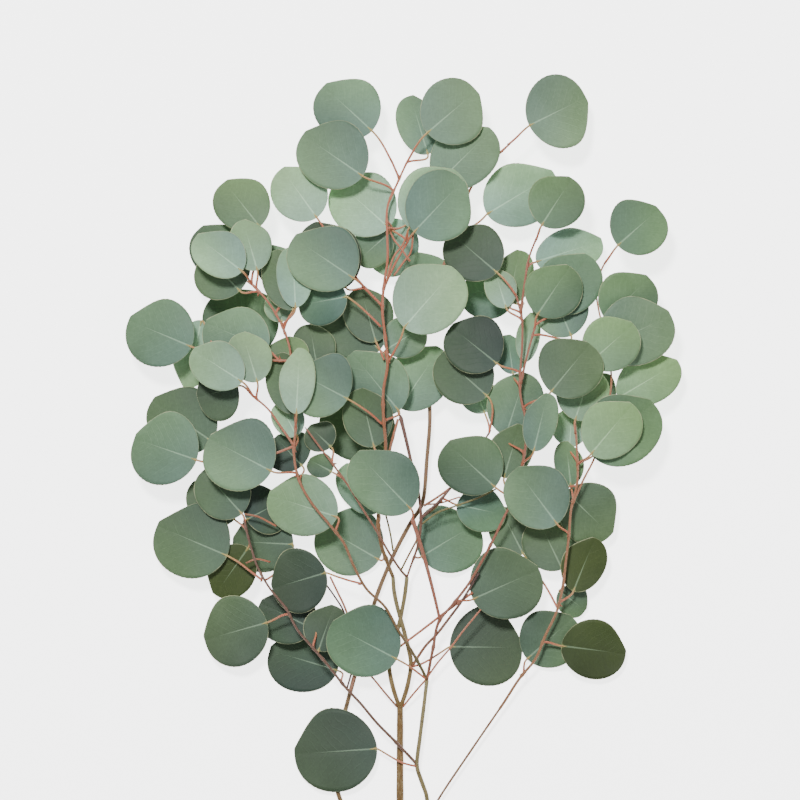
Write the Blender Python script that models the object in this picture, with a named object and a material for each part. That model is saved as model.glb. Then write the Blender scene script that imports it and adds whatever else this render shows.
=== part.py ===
"""A cut branch of silver-dollar eucalyptus lying flat: its woody stems, and the leafy sprays that they carry.

The plan is drawn from above on a grid of steps, x to the right and y down. Heights and radii are in millimetres.
The leaves settle on one another layer by layer, the twigs are lifted clear of those below them, and the stalks
are bent from the twigs to the blades.
"""

import math
from collections import namedtuple

import bmesh
import bpy
import numpy as np

# The drawing: how much the whole of it measures, in metres, and its grid.
MM = 0.001
DRAWN_HEIGHT = 0.68
DRAWN_STEPS = 800
STEP = DRAWN_HEIGHT / DRAWN_STEPS
MIDDLE_STEP = 400

# Leaf blades, in metres: thickness, and how much each one cups, ripples and arches.
BLADE_THICKNESS = 0.0008
BLADE_CUP = 0.0022
BLADE_RIPPLE = 0.0013
BLADE_ARCH = 0.0020
RIPPLE_TURN = 7.0
RIPPLE_SHIFT = 1.3
GOLDEN_TURN = math.pi * (3 - math.sqrt(5))

# The blade's outline: a short point at the stalk, round sides and a blunter outer end.
BASE_ROUNDNESS = 0.60
END_ROUNDNESS = 0.44

# Leaf stalks, in metres: how far behind the blade one leaves its twig, and how it swings round to the blade.
STALK_RADIUS = 0.0007
STALK_REACH = 0.012
STALK_RAISE = 0.00025
STALK_SWING = 0.6
STALK_START = 0.30
STALK_END = 0.35
SUNK_PARTS = (0.04, 0.09)

# Clearances in the pile, and the seats where a spray's root meets its stub on the woody stem, in metres.
LEAF_GAP = 0.0014
TWIG_GAP = 0.0010
SEAT_GAP = 0.0003
STUB_LENGTH = 0.009
STUB_SINK = 0.0015

# Layers: a leaf below TWIG_LAYER hangs under the twigs, one above it lies on them, one at 0 lies on the table.
TWIG_LAYER = 5.5
LAYER_RISE = 0.0035

# A settling leaf tries these slopes along and across itself. It prefers to droop a little and to lie low.
RISES = np.linspace(-0.30, 0.24, 19)
ROLLS = np.linspace(-0.20, 0.20, 11)
REST_RISE = -0.10
SLOPE_COST = 0.10
LIFT_COST = 0.40

# A lifted twig keeps the height of its highest need over this many fine points, and leaves its root over these.
LIFT_REACH = 6
ROOT_POINTS = 10

# The height map of the pile, and how closely a blade is felt over it.
CELL = 0.0025
PILE_CORNER = (-0.30, -0.14)
PILE_CELLS = (240, 320)
FELT_T = np.linspace(-0.03, 1.03, 27)[:, None]
FELT_V = np.linspace(-1.07, 1.07, 27)[None, :]
LAID_T = np.linspace(0, 1, 31)[:, None]
LAID_V = np.linspace(-1, 1, 31)[None, :]

# How finely the solids are cut.
WOOD_SIDES = 7
TWIG_SIDES = 5
STALK_SIDES = 3
WOOD_SPACING = 0.024
TWIG_SPACING = 0.022
STALK_SPACING = 0.017
FINE_SPACING = 0.003
SEAT_POINTS = 6
CURVE_CUTS = 12
BLADE_ROWS = (0.0, 0.07, 0.26, 0.52, 0.77, 0.95, 1.0)

# Looks of the solids.
LEAF_COLOUR = (0.22, 0.31, 0.23)
LEAF_ROUGHNESS = 0.6
BARK_COLOUR = (0.18, 0.11, 0.05)
BARK_ROUGHNESS = 0.75
SHARP_ANGLE = 40.0

Stem = namedtuple("Stem", "root_radius tip_radius route")
Leaf = namedtuple("Leaf", "base_x base_y tip_x tip_y width layer")
Blade = namedtuple("Blade", "base along across length half_width rise roll shape")

# Woody stems. A route's points are (x, y, height).
STEMS = {
    "trunk": Stem(
        3.3,
        2.5,
        (
            (402, 905, 3.4), (401, 860, 3.4), (400, 800, 4), (400, 755, 5), (400, 708, 7),
        ),
    ),
    "back": Stem(
        1.9,
        1.5,
        (
            (401, 878, 3.4), (385, 862, 3), (355, 832, 3), (336, 790, 3.5), (338, 742, 3.5),
            (347, 705, 4), (356, 672, 4), (366, 635, 5), (375, 602, 6), (386, 573, 7),
            (398, 547, 8), (411, 523, 9), (423, 502, 10), (427, 460, 11), (430, 420, 12),
            (428, 385, 12), (421, 352, 12), (418, 330, 13),
        ),
    ),
    "fork_left": Stem(
        1.8,
        1.6,
        (
            (400, 711, 7), (393, 690, 9), (389, 668, 9), (391, 650, 10), (398, 630, 11),
            (402, 612, 13), (405, 595, 15), (407, 578, 17),
        ),
    ),
    "fork_right": Stem(
        1.8,
        1.6,
        (
            (400, 711, 7), (407, 690, 9.5), (411, 666, 11), (408, 648, 12), (402, 625, 13),
            (397, 607, 14), (394, 592, 15.5), (393, 578, 17),
        ),
    ),
    "side": Stem(
        1.8,
        1.5,
        (
            (401, 856, 3.6), (407, 848, 4.5), (418, 832, 6), (426, 815, 7), (427, 800, 8),
            (421, 782, 9), (417, 767, 10), (420, 740, 11.5), (424, 708, 13), (427, 682, 15),
        ),
    ),
    "outer": Stem(
        1.4,
        1.3,
        (
            (402, 876, 3.6), (412, 852, 5), (425, 828, 7), (440, 800, 8), (470, 755, 10),
            (500, 711, 12),
        ),
    ),
}

# Twigs of each spray. The first grows from a woody stem, the others from those before them.
TWIGS = {
    "crown": (
        Stem(
            1.5,
            0.9,
            (
                (393, 578, 17), (386, 560, 18.5), (380, 540, 21.5), (378, 520, 26), (382, 490, 32),
                (386, 455, 38), (384, 425, 42), (383, 395, 45), (388, 360, 47), (385, 335, 48),
                (382, 305, 48), (384, 285, 48), (388, 255, 47), (387, 228, 45), (388, 205, 43),
                (399, 180, 40), (408, 160, 38),
            ),
        ),
        Stem(
            1,
            0.8,
            (
                (399, 180, 40), (391, 160, 37),
            ),
        ),
        Stem(
            1,
            0.8,
            (
                (382, 305, 48), (360, 282, 46), (340, 255, 44), (324, 228, 42),
            ),
        ),
        Stem(
            1,
            0.8,
            (
                (383, 290, 48), (392, 270, 48), (400, 255, 48), (409, 240, 48),
            ),
        ),
    ),
    "upper_left": (
        Stem(
            1.2,
            0.9,
            (
                (427, 682, 15), (417, 660, 20), (405, 642, 25), (395, 625, 28), (385, 607, 30),
                (374, 597, 32), (362, 583, 33), (352, 562, 35), (344, 543, 37), (334, 530, 39),
                (322, 515, 41), (303, 490, 43), (296, 465, 45), (294, 446, 46), (296, 425, 47),
                (294, 395, 47), (291, 360, 47), (288, 338, 46), (278, 318, 45), (262, 293, 43),
                (250, 282, 41),
            ),
        ),
        Stem(
            1,
            0.8,
            (
                (294, 446, 46), (283, 430, 46), (265, 405, 45), (252, 395, 44),
            ),
        ),
        Stem(
            1,
            0.8,
            (
                (291, 362, 47), (262, 360, 44), (232, 355, 41), (206, 352, 38),
            ),
        ),
        Stem(
            1,
            0.8,
            (
                (294, 447, 46), (270, 456, 43), (242, 463, 40), (214, 464, 37),
            ),
        ),
    ),
    "inner_left": (
        Stem(
            1,
            0.8,
            (
                (407, 578, 17), (400, 570, 20), (392, 558, 23.5), (380, 537, 28.5), (370, 520, 31),
                (358, 502, 34), (345, 480, 36), (335, 467, 37), (322, 450, 39), (312, 435, 40),
                (305, 427, 41),
            ),
        ),
    ),
    "lower_left": (
        Stem(
            1.2,
            0.9,
            (
                (417, 767, 10), (400, 748, 14), (380, 728, 17), (360, 704, 20), (340, 682, 23),
                (322, 658, 26), (300, 634, 30), (285, 607, 33), (265, 582, 36), (257, 565, 37),
                (250, 543, 38), (244, 520, 38),
            ),
        ),
    ),
    "middle": (
        Stem(
            1.1,
            0.8,
            (
                (407, 578, 17), (413, 560, 19.5), (419, 541, 23), (421, 520, 26), (418, 490, 30),
                (411, 462, 33), (405, 435, 35), (400, 415, 36),
            ),
        ),
        Stem(
            1,
            0.8,
            (
                (421, 520, 26), (432, 510, 28), (452, 488, 31), (470, 462, 33), (482, 445, 35),
                (491, 430, 36),
            ),
        ),
    ),
    "inner_right": (
        Stem(
            1.2,
            0.9,
            (
                (427, 682, 15), (433, 650, 18), (439, 622, 22), (452, 606, 24), (465, 590, 26),
                (477, 570, 28), (487, 552, 30), (498, 530, 33), (505, 515, 35), (515, 495, 37),
                (521, 470, 39), (525, 448, 41), (526, 425, 43), (522, 405, 44), (519, 385, 45),
                (521, 360, 46), (522, 335, 46), (521, 315, 46), (515, 293, 45),
            ),
        ),
        Stem(
            1,
            0.8,
            (
                (519, 385, 45), (524, 365, 46), (530, 342, 46), (536, 322, 45),
            ),
        ),
        Stem(
            1,
            0.8,
            (
                (521, 315, 46), (524, 295, 47), (526, 268, 47), (533, 248, 45), (540, 230, 43),
            ),
        ),
        Stem(
            1,
            0.8,
            (
                (439, 622, 22), (430, 582, 26), (419, 541, 31), (412, 518, 33),
            ),
        ),
    ),
    "outer_right": (
        Stem(
            1.3,
            0.9,
            (
                (500, 711, 12), (521, 679, 14), (535, 661, 16), (541, 648, 18), (550, 627, 21),
                (559, 607, 24), (563, 585, 27), (567, 555, 30), (570, 530, 33), (572, 502, 36),
                (577, 482, 38), (577, 462, 40), (575, 440, 41), (575, 415, 42), (575, 385, 43),
                (574, 352, 43),
            ),
        ),
        Stem(
            1,
            0.8,
            (
                (572, 502, 36), (580, 483, 38), (589, 468, 39), (597, 445, 39), (605, 415, 40),
                (611, 380, 41), (608, 340, 41), (603, 300, 41), (600, 272, 40), (607, 259, 39),
            ),
        ),
    ),
    "upper_right": (
        Stem(
            1.4,
            0.9,
            (
                (418, 330, 13), (419, 315, 17), (425, 300, 22), (443, 268, 29), (462, 243, 32),
                (479, 224, 34), (488, 195, 36), (497, 160, 37), (504, 148, 37),
            ),
        ),
    ),
}

# Leaves of each spray: where the blade starts, x and y, where it ends, x and y, its width, and its layer.
LEAVES = {
    "crown": (
        (372, 131, 322, 84, 66, 5), (363, 177, 302, 134, 70, 7),
        (427, 134, 478, 90, 68, 8), (428, 154, 410, 93, 46, 3),
        (389, 228, 336, 180, 66, 3), (414, 233, 464, 180, 70, 8),
        (409, 229, 458, 172, 68, 7), (317, 218, 281, 168, 56, 5),
        (408, 222, 376, 272, 56, 1), (390, 232, 356, 262, 40, 2),
        (404, 328, 456, 268, 72, 7), (354, 279, 293, 238, 70, 8),
        (346, 288, 312, 223, 62, 5), (347, 297, 297, 306, 50, 5),
        (380, 350, 326, 302, 68, 1), (376, 342, 360, 287, 50, 2),
        (399, 411, 351, 352, 62, 3), (374, 447, 360, 388, 50, 4),
        (388, 452, 326, 402, 72, 0), (348, 399, 297, 372, 70, 6),
        (386, 350, 424, 326, 42, 2), (378, 513, 343, 464, 44, 3),
        (379, 561, 318, 526, 70, 2),
    ),
    "upper_left": (
        (260, 227, 223, 180, 56, 5), (243, 272, 196, 236, 48, 8),
        (258, 271, 243, 220, 42, 7), (243, 277, 198, 226, 60, 2),
        (240, 291, 204, 254, 62, 4), (192, 347, 128, 320, 70, 6),
        (268, 350, 204, 322, 60, 5), (243, 382, 193, 350, 48, 8),
        (258, 382, 242, 331, 44, 7), (238, 386, 196, 398, 62, 3),
        (201, 320, 184, 388, 40, 1), (262, 352, 216, 290, 76, 0),
        (212, 442, 150, 400, 68, 2), (197, 460, 132, 438, 76, 6),
        (272, 471, 208, 438, 78, 7), (294, 310, 276, 250, 46, 5),
        (296, 308, 293, 246, 36, 6), (296, 414, 281, 352, 46, 5),
        (297, 414, 300, 348, 36, 7), (289, 290, 267, 244, 44, 3),
        (282, 322, 275, 292, 30, 2), (284, 380, 292, 335, 44, 3),
        (297, 436, 278, 402, 32, 3), (337, 517, 268, 495, 62, 4),
        (302, 466, 274, 436, 48, 1), (397, 660, 330, 625, 73, 4),
        (318, 372, 309, 322, 44, 1),
    ),
    "inner_left": (
        (331, 447, 309, 426, 34, 3), (332, 472, 308, 459, 26, 3),
    ),
    "lower_left": (
        (377, 751, 293, 757, 84, 4), (267, 623, 202, 642, 72, 4),
        (227, 556, 155, 526, 80, 3), (248, 548, 214, 596, 50, 2),
        (246, 520, 284, 500, 54, 2), (293, 545, 231, 542, 62, 1),
        (326, 573, 270, 590, 66, 4), (313, 630, 258, 604, 60, 3),
        (318, 652, 334, 606, 44, 3), (337, 673, 267, 652, 68, 0),
        (242, 514, 202, 470, 56, 4), (234, 520, 190, 484, 50, 1),
    ),
    "middle": (
        (400, 408, 441, 347, 60, 1), (421, 558, 478, 524, 72, 3),
        (457, 505, 508, 516, 46, 4), (487, 396, 440, 354, 60, 4),
        (485, 413, 472, 378, 38, 1),
    ),
    "inner_right": (
        (411, 509, 356, 452, 66, 7), (473, 600, 540, 570, 74, 5),
        (495, 487, 446, 442, 64, 6), (497, 364, 450, 326, 60, 6),
        (497, 273, 450, 232, 60, 5), (514, 302, 462, 284, 54, 0),
        (506, 308, 494, 268, 32, 4), (509, 304, 520, 248, 40, 2),
        (537, 315, 570, 266, 58, 6), (553, 312, 588, 255, 62, 5),
        (536, 262, 604, 240, 46, 3), (541, 226, 572, 178, 56, 7),
        (550, 392, 590, 343, 66, 8), (571, 336, 548, 282, 56, 4),
        (525, 362, 532, 312, 24, 3), (513, 374, 508, 333, 32, 2),
        (506, 436, 526, 372, 56, 2), (504, 478, 520, 424, 44, 3),
        (533, 451, 547, 392, 34, 9), (524, 555, 500, 508, 46, 1),
        (450, 649, 525, 650, 82, 0),
    ),
    "outer_right": (
        (528, 661, 575, 618, 62, 3), (562, 647, 628, 656, 60, 5),
        (563, 570, 538, 518, 56, 3), (566, 572, 574, 518, 30, 1),
        (574, 592, 596, 538, 44, 4), (560, 592, 588, 613, 34, 1),
        (557, 524, 515, 468, 64, 7), (566, 492, 612, 536, 62, 3),
        (571, 486, 566, 440, 30, 3), (570, 447, 573, 406, 38, 2),
        (575, 420, 592, 368, 54, 5), (602, 420, 606, 372, 26, 2),
        (590, 454, 632, 404, 58, 7), (592, 456, 654, 402, 74, 6),
        (588, 364, 633, 324, 56, 7), (600, 350, 672, 314, 70, 6),
        (606, 320, 650, 277, 60, 5), (618, 398, 680, 362, 50, 5),
        (617, 246, 660, 208, 61, 6),
    ),
    "upper_right": (
        (529, 126, 588, 96, 76, 6), (487, 214, 556, 172, 66, 5),
        (437, 184, 492, 130, 62, 6), (444, 300, 414, 252, 44, 2),
    ),
}


def world(x, y, height):
    """A place of the drawing, with its height in millimetres, in metres."""
    return np.array([(x - MIDDLE_STEP) * STEP, (DRAWN_STEPS - y) * STEP, height * MM])


def unit(vectors):
    return vectors / np.linalg.norm(vectors, axis=-1, keepdims=True)


def smooth_curve(route):
    """Closely spaced points of a smooth curve through the places of a route."""
    points = np.array([world(*place) for place in route])
    ends = np.vstack([2 * points[0] - points[1], points, 2 * points[-1] - points[-2]])
    curve = []
    for a, b, c, d in zip(ends, ends[1:], ends[2:], ends[3:]):
        for t in np.linspace(0, 1, CURVE_CUTS, endpoint=False):
            curve.append(b + 0.5 * t * (c - a + t * (2 * a - 5 * b + 4 * c - d + t * (3 * (b - c) + d - a))))
    curve.append(points[-1])
    return np.array(curve)


def spaced(curve, spacing, start=0.0):
    """Evenly spaced points of the curve, from a length along it to its end."""
    lengths = np.concatenate([[0.0], np.cumsum(np.linalg.norm(np.diff(curve, axis=0), axis=1))])
    count = max(2, round((lengths[-1] - start) / spacing) + 1)
    wanted = np.linspace(start, lengths[-1], count)
    return np.column_stack([np.interp(wanted, lengths, curve[:, axis]) for axis in range(3)])


def directions_at(corners):
    """The direction of a bent tube at each of its corners."""
    steps = unit(np.diff(corners, axis=0))
    return unit(np.vstack([steps[:1], steps[:-1] + steps[1:], steps[-1:]]))


def tube(points, directions, radii, sides):
    """A closed tube along the points, as vertices and faces."""
    side = unit(np.cross(directions, (0.0, 0.0, 1.0)))
    rise = np.cross(side, directions)
    turns = [math.tau * k / sides for k in range(sides)]
    verts = []
    for centre, s, r, radius in zip(points, side, rise, radii):
        verts += [centre + radius * (math.cos(turn) * s + math.sin(turn) * r) for turn in turns]
    faces = [tuple(range(sides))]
    for ring in range(len(points) - 1):
        for k in range(sides):
            a = ring * sides + k
            b = ring * sides + (k + 1) % sides
            faces.append((a, a + sides, b + sides, b))
    last = (len(points) - 1) * sides
    faces.append(tuple(range(last, last + sides))[::-1])
    return verts, faces


def half_outline(t):
    """Half the blade's width over its largest, at a part t of its length."""
    t = np.clip(t, 0.0, 1.0)
    widest = BASE_ROUNDNESS / (BASE_ROUNDNESS + END_ROUNDNESS)
    largest = widest**BASE_ROUNDNESS * (1 - widest) ** END_ROUNDNESS
    return t**BASE_ROUNDNESS * (1 - t) ** END_ROUNDNESS / largest


def leaf_shape(leaf, number):
    """The blade's own cup, ripple, arch and phase. A leaf that lies on the table has none."""
    if leaf.layer == 0:
        return 0.0, 0.0, 0.0, 0.0
    phase = GOLDEN_TURN * number
    cup = BLADE_CUP * math.sin(phase)
    ripple = BLADE_RIPPLE * (1 + 0.5 * math.cos(3 * phase))
    arch = BLADE_ARCH * math.cos(phase)
    return cup, ripple, arch, phase


def blade_points(blade, t, v):
    """Points of the blade's middle surface: t runs from the stalk to the outer end, v from edge to edge."""
    t, v = np.broadcast_arrays(np.asarray(t, float), np.asarray(v, float))
    cup, ripple, arch, phase = blade.shape
    forward = t * blade.length
    aside = v * half_outline(t) * blade.half_width
    edge = (aside / blade.half_width) ** 2
    height = blade.rise * forward + blade.roll * aside
    height = height + cup * edge + 4 * arch * t * (1 - t)
    height = height + ripple * edge * np.sin(RIPPLE_TURN * t + phase + RIPPLE_SHIFT * np.sign(v))
    points = blade.base + forward[..., None] * blade.along + aside[..., None] * blade.across
    points[..., 2] += height
    return points


class Pile:
    """The height that the wood, twigs and leaves reach over each square of the table."""

    def __init__(self):
        self.top = np.zeros(PILE_CELLS)

    def squares(self, points):
        column = ((points[..., 0] - PILE_CORNER[0]) / CELL).astype(int)
        row = ((points[..., 1] - PILE_CORNER[1]) / CELL).astype(int)
        return column, row

    def under(self, points, radius=0.0):
        """The pile's height under each point, felt over a small radius round it."""
        shifts = [(dx, dy, 0.0) for dx in (-radius, 0.0, radius) for dy in (-radius, 0.0, radius)]
        return np.max([self.top[self.squares(points + shift)] for shift in shifts], axis=0)

    def add(self, points):
        np.maximum.at(self.top, self.squares(points), points[..., 2])

    def add_tube(self, points, radius):
        for dx in (-radius, 0.0, radius):
            for dy in (-radius, 0.0, radius):
                self.add(points + (dx, dy, radius))

    def add_blade(self, blade):
        self.add(blade_points(blade, LAID_T, LAID_V) + (0.0, 0.0, BLADE_THICKNESS / 2))


def nearest(curves, place):
    """The curve, and the number of its point past the spray's seat, that lie nearest a place seen from above."""
    found = []
    for order, curve in enumerate(curves):
        distances = np.linalg.norm(curve[:, :2] - place[:2], axis=1)
        if order == 0:
            distances[:SEAT_POINTS] = math.inf
        k = int(np.argmin(distances))
        found.append((distances[k], order, k))
    _, order, k = min(found)
    return curves[order], k


def settle(leaf, number, pile, curves):
    """Lays one leaf on the pile, tilted to lie low, and no further from its twig than its layer."""
    base = world(leaf.base_x, leaf.base_y, 0.0)
    tip = world(leaf.tip_x, leaf.tip_y, 0.0)
    length = float(np.linalg.norm(tip - base))
    along = (tip - base) / length
    across = np.array([-along[1], along[0], 0.0])
    flat = Blade(base, along, across, length, leaf.width * STEP / 2, 0.0, 0.0, leaf_shape(leaf, number))
    if leaf.layer == 0:
        return flat._replace(base=base + (0.0, 0.0, BLADE_THICKNESS / 2))
    twig, k = nearest(curves, base - STALK_REACH * along)
    wanted = twig[k][2] + (leaf.layer - TWIG_LAYER) * LAYER_RISE
    felt = blade_points(flat, FELT_T, FELT_V)
    clear = pile.under(felt) + LEAF_GAP + BLADE_THICKNESS - felt[..., 2]
    forward = (felt - base) @ along
    aside = (felt - base) @ across
    found = []
    for rise in RISES:
        for roll in ROLLS:
            height = max(wanted, float(np.max(clear - rise * forward - roll * aside)))
            cost = height + rise * length / 2 + LIFT_COST * (height - wanted)
            cost += SLOPE_COST * ((rise - REST_RISE) ** 2 + roll**2)
            found.append((cost, height, rise, roll))
    _, height, rise, roll = min(found)
    return flat._replace(base=base + (0.0, 0.0, height), rise=rise, roll=roll)


def lifted(curve, radius, pile):
    """The curve raised where the pile under it is higher, with its root left where it is."""
    points = spaced(curve, FINE_SPACING)
    height = np.maximum(points[:, 2], pile.under(points, radius) + radius + TWIG_GAP)
    window = 2 * LIFT_REACH + 1
    padded = np.pad(height, 2 * LIFT_REACH, mode="edge")
    highest = np.array([padded[k : k + window].max() for k in range(len(padded) - window + 1)])
    smooth = np.array([highest[k : k + window].mean() for k in range(len(height))])
    ramp = np.clip(np.arange(len(height)) / ROOT_POINTS, 0, 1)
    ramp = ramp * ramp * (3 - 2 * ramp)
    points[:, 2] = points[0, 2] + (smooth - points[0, 2]) * ramp
    return points


def bent_twigs(twigs, drawn, pile):
    """Each twig's corners, lifted off the pile. Side twigs start on the axis of the one that bears them."""
    curves = []
    routes = []
    for order, (twig, curve) in enumerate(zip(twigs, drawn)):
        start = 0.0
        if order == 0:
            start = STUB_LENGTH
        else:
            bearer, k = nearest(curves, curve[0])
            curve = curve + (bearer[k] - curve[0]) * np.linspace(1, 0, len(curve))[:, None]
        curve = lifted(curve, twig.root_radius * MM, pile)
        corners = spaced(curve, TWIG_SPACING, start)
        if order == 0:
            corners = np.vstack([curve[:1], corners])
        routes.append(corners)
        curves.append(spaced(corners, FINE_SPACING))
    for twig, curve in zip(twigs, curves):
        pile.add_tube(curve, twig.root_radius * MM)
    return routes, curves


def stalk(blade, curves):
    """The leaf's stalk: from a twig, round to the blade's base, and a little way along its midrib."""
    curve, k = nearest(curves, blade.base - STALK_REACH * blade.along)
    k = min(k, len(curve) - 2)
    hook = curve[k]
    end = blade.base + (0.0, 0.0, STALK_RAISE)
    reach = float(np.linalg.norm(end - hook))
    onward = unit(curve[k + 1] - curve[k - 1])
    outward = unit(STALK_SWING * onward + unit(end - hook))
    inward = unit(blade_points(blade, SUNK_PARTS[-1], 0.0) - blade.base)
    start = hook + STALK_START * reach * outward
    finish = end - STALK_END * reach * inward
    t = np.linspace(0, 1, CURVE_CUTS)[:, None]
    way = (1 - t) ** 3 * hook + 3 * (1 - t) ** 2 * t * start + 3 * (1 - t) * t**2 * finish + t**3 * end
    sunk = blade_points(blade, np.array(SUNK_PARTS), 0.0) + (0.0, 0.0, STALK_RAISE)
    return np.vstack([way, sunk])


def arrange():
    """Where everything lies: stems' curves, twigs' corners, blades and stalks, the last three by spray."""
    pile = Pile()
    stems = {name: spaced(smooth_curve(stem.route), FINE_SPACING) for name, stem in STEMS.items()}
    for name, stem in STEMS.items():
        pile.add_tube(stems[name], stem.root_radius * MM)
    drawn = {
        spray: [spaced(smooth_curve(twig.route), FINE_SPACING) for twig in twigs] for spray, twigs in TWIGS.items()
    }
    leaves = [(Leaf(*row), spray, number) for spray in LEAVES for number, row in enumerate(LEAVES[spray])]
    leaves.sort(key=lambda entry: entry[0].layer)
    blades = {spray: {} for spray in LEAVES}
    for leaf, spray, number in leaves:
        if leaf.layer < TWIG_LAYER:
            blades[spray][number] = settle(leaf, number, pile, drawn[spray])
            pile.add_blade(blades[spray][number])
    routes = {}
    curves = {}
    for spray, twigs in TWIGS.items():
        routes[spray], curves[spray] = bent_twigs(twigs, drawn[spray], pile)
    for leaf, spray, number in leaves:
        if leaf.layer > TWIG_LAYER:
            blades[spray][number] = settle(leaf, number, pile, curves[spray])
            pile.add_blade(blades[spray][number])
    stalks = {}
    for spray, found in blades.items():
        stalks[spray] = {number: stalk(blade, curves[spray]) for number, blade in found.items()}
    return stems, routes, blades, stalks


def blade_solid(blade):
    """A thin closed slab, its upper and lower faces split alike, as vertices and faces."""
    rows = len(BLADE_ROWS)
    inner = BLADE_ROWS[1:-1]
    sheet = [blade_points(blade, t, 0.0) for t in BLADE_ROWS]
    sheet += [blade_points(blade, t, -1.0) for t in inner]
    sheet += [blade_points(blade, t, 1.0) for t in inner]
    right = [rows + k for k in range(len(inner))]
    left = [right[-1] + 1 + k for k in range(len(inner))]
    faces = [(0, 1, right[0]), (0, left[0], 1)]
    for k in range(len(inner) - 1):
        m = k + 1
        faces += [(m, m + 1, right[k + 1]), (m, right[k + 1], right[k])]
        faces += [(m, left[k], left[k + 1]), (m, left[k + 1], m + 1)]
    faces += [(rows - 2, rows - 1, right[-1]), (rows - 2, left[-1], rows - 1)]
    border = [0] + left + [rows - 1] + right[::-1]
    count = len(sheet)
    half = np.array([0.0, 0.0, BLADE_THICKNESS / 2])
    verts = [point + half for point in sheet] + [point - half for point in sheet]
    solid = [face[::-1] for face in faces]
    solid += [tuple(index + count for index in face) for face in faces]
    for a, b in zip(border, border[1:] + border[:1]):
        solid += [(a, b, b + count), (a, b + count, a + count)]
    return verts, solid


def stem_tube(curve, stem):
    """A woody stem's closed tube."""
    corners = spaced(curve, WOOD_SPACING)
    radii = np.linspace(stem.root_radius, stem.tip_radius, len(corners)) * MM
    return tube(corners, directions_at(corners), radii, WOOD_SIDES)


def stub(corners, stem):
    """The first short length of a spray's root, which the woody stem carries, begun a little inside that stem."""
    direction = unit(corners[1] - corners[0])
    points = np.array([corners[0] - STUB_SINK * direction, corners[1] - SEAT_GAP * direction])
    return tube(points, np.array([direction, direction]), np.full(2, stem.root_radius * MM), TWIG_SIDES)


def twig_tube(corners, stem, seated):
    """A twig's closed tube. A spray's root is seated on its stub, so its first ring is turned to face that."""
    directions = directions_at(corners)
    radii = np.linspace(stem.root_radius, stem.tip_radius, len(corners)) * MM
    if seated:
        directions[1] = directions[0]
        return tube(corners[1:], directions[1:], radii[1:], TWIG_SIDES)
    return tube(corners, directions, radii, TWIG_SIDES)


def stalk_tube(way):
    """A leaf stalk's closed tube."""
    corners = spaced(way, STALK_SPACING)
    return tube(corners, directions_at(corners), np.full(len(corners), STALK_RADIUS), STALK_SIDES)


def pieces():
    """Each node's separate solids, with a label for each: stems, twigs, stalks and blades."""
    stems, routes, blades, stalks = arrange()
    wood = [(name, stem_tube(stems[name], stem)) for name, stem in STEMS.items()]
    wood += [(f"{spray} stub", stub(routes[spray][0], twigs[0])) for spray, twigs in TWIGS.items()]
    found = {"woody_stems": wood}
    for spray, twigs in TWIGS.items():
        node = []
        for order, twig in enumerate(twigs):
            node.append((f"{spray} twig {order}", twig_tube(routes[spray][order], twig, order == 0)))
        for number, way in sorted(stalks[spray].items()):
            node.append((f"{spray} stalk {number}", stalk_tube(way)))
            node.append((f"{spray} leaf {number}", blade_solid(blades[spray][number])))
        found[f"{spray}_spray"] = node
    return found


def material(name, colour, roughness):
    made = bpy.data.materials.new(name)
    made.use_nodes = True
    shader = made.node_tree.nodes["Principled BSDF"]
    shader.inputs["Base Color"].default_value = (*colour, 1.0)
    shader.inputs["Roughness"].default_value = roughness
    shader.inputs["Metallic"].default_value = 0.0
    return made


def solid_object(name, solid, middle, collection):
    verts, faces = solid
    mesh = bpy.data.meshes.new(name)
    mesh.from_pydata([tuple(vert - middle) for vert in verts], [], faces)
    made = bpy.data.objects.new(name, mesh)
    collection.objects.link(made)
    return made


def shells(body):
    """The separate closed shells of a mesh, each as a list of its faces."""
    waiting = set(body.faces)
    found = []
    while waiting:
        shell = []
        reached = [waiting.pop()]
        while reached:
            face = reached.pop()
            shell.append(face)
            around = {other for edge in face.edges for other in edge.link_faces} & waiting
            waiting -= around
            reached += around
        found.append(shell)
    return found


def keep_outer_shell(mesh):
    """Fills what fusing sealed inside the body by keeping only the shell with the most faces."""
    body = bmesh.new()
    body.from_mesh(mesh)
    for shell in sorted(shells(body), key=len)[:-1]:
        bmesh.ops.delete(body, geom=shell, context="FACES")
    body.to_mesh(mesh)
    body.free()


def fuse(name, solids, middle, look):
    """One closed body out of a node's stems, stalks and blades."""
    scene = bpy.context.scene.collection
    rest = bpy.data.collections.new(f"{name}_pieces")
    scene.children.link(rest)
    body = solid_object(name, solids[0], middle, scene)
    for number, solid in enumerate(solids[1:]):
        solid_object(f"{name}_{number}", solid, middle, rest)
    union = body.modifiers.new("Fuse", "BOOLEAN")
    union.operation = "UNION"
    union.operand_type = "COLLECTION"
    union.collection = rest
    union.solver = "MANIFOLD"
    evaluated = body.evaluated_get(bpy.context.evaluated_depsgraph_get())
    fused = bpy.data.meshes.new_from_object(evaluated)
    body.modifiers.clear()
    body.data = fused
    keep_outer_shell(fused)
    fused.materials.clear()
    fused.materials.append(look)
    fused.shade_smooth()
    fused.set_sharp_from_angle(angle=math.radians(SHARP_ANGLE))
    for piece in list(rest.objects):
        bpy.data.objects.remove(piece)
    bpy.data.collections.remove(rest)


def main():
    for old in list(bpy.data.objects):
        bpy.data.objects.remove(old)
    leaf = material("leaf", LEAF_COLOUR, LEAF_ROUGHNESS)
    bark = material("bark", BARK_COLOUR, BARK_ROUGHNESS)
    found = pieces()
    verts = np.array([vert for node in found.values() for _, solid in node for vert in solid[0]])
    low = verts.min(axis=0)
    high = verts.max(axis=0)
    middle = np.array([(low[0] + high[0]) / 2, (low[1] + high[1]) / 2, low[2]])
    for name, node in found.items():
        look = bark if name == "woody_stems" else leaf
        fuse(name, [solid for _, solid in node], middle, look)


if __name__ == "__main__":
    main()
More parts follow.
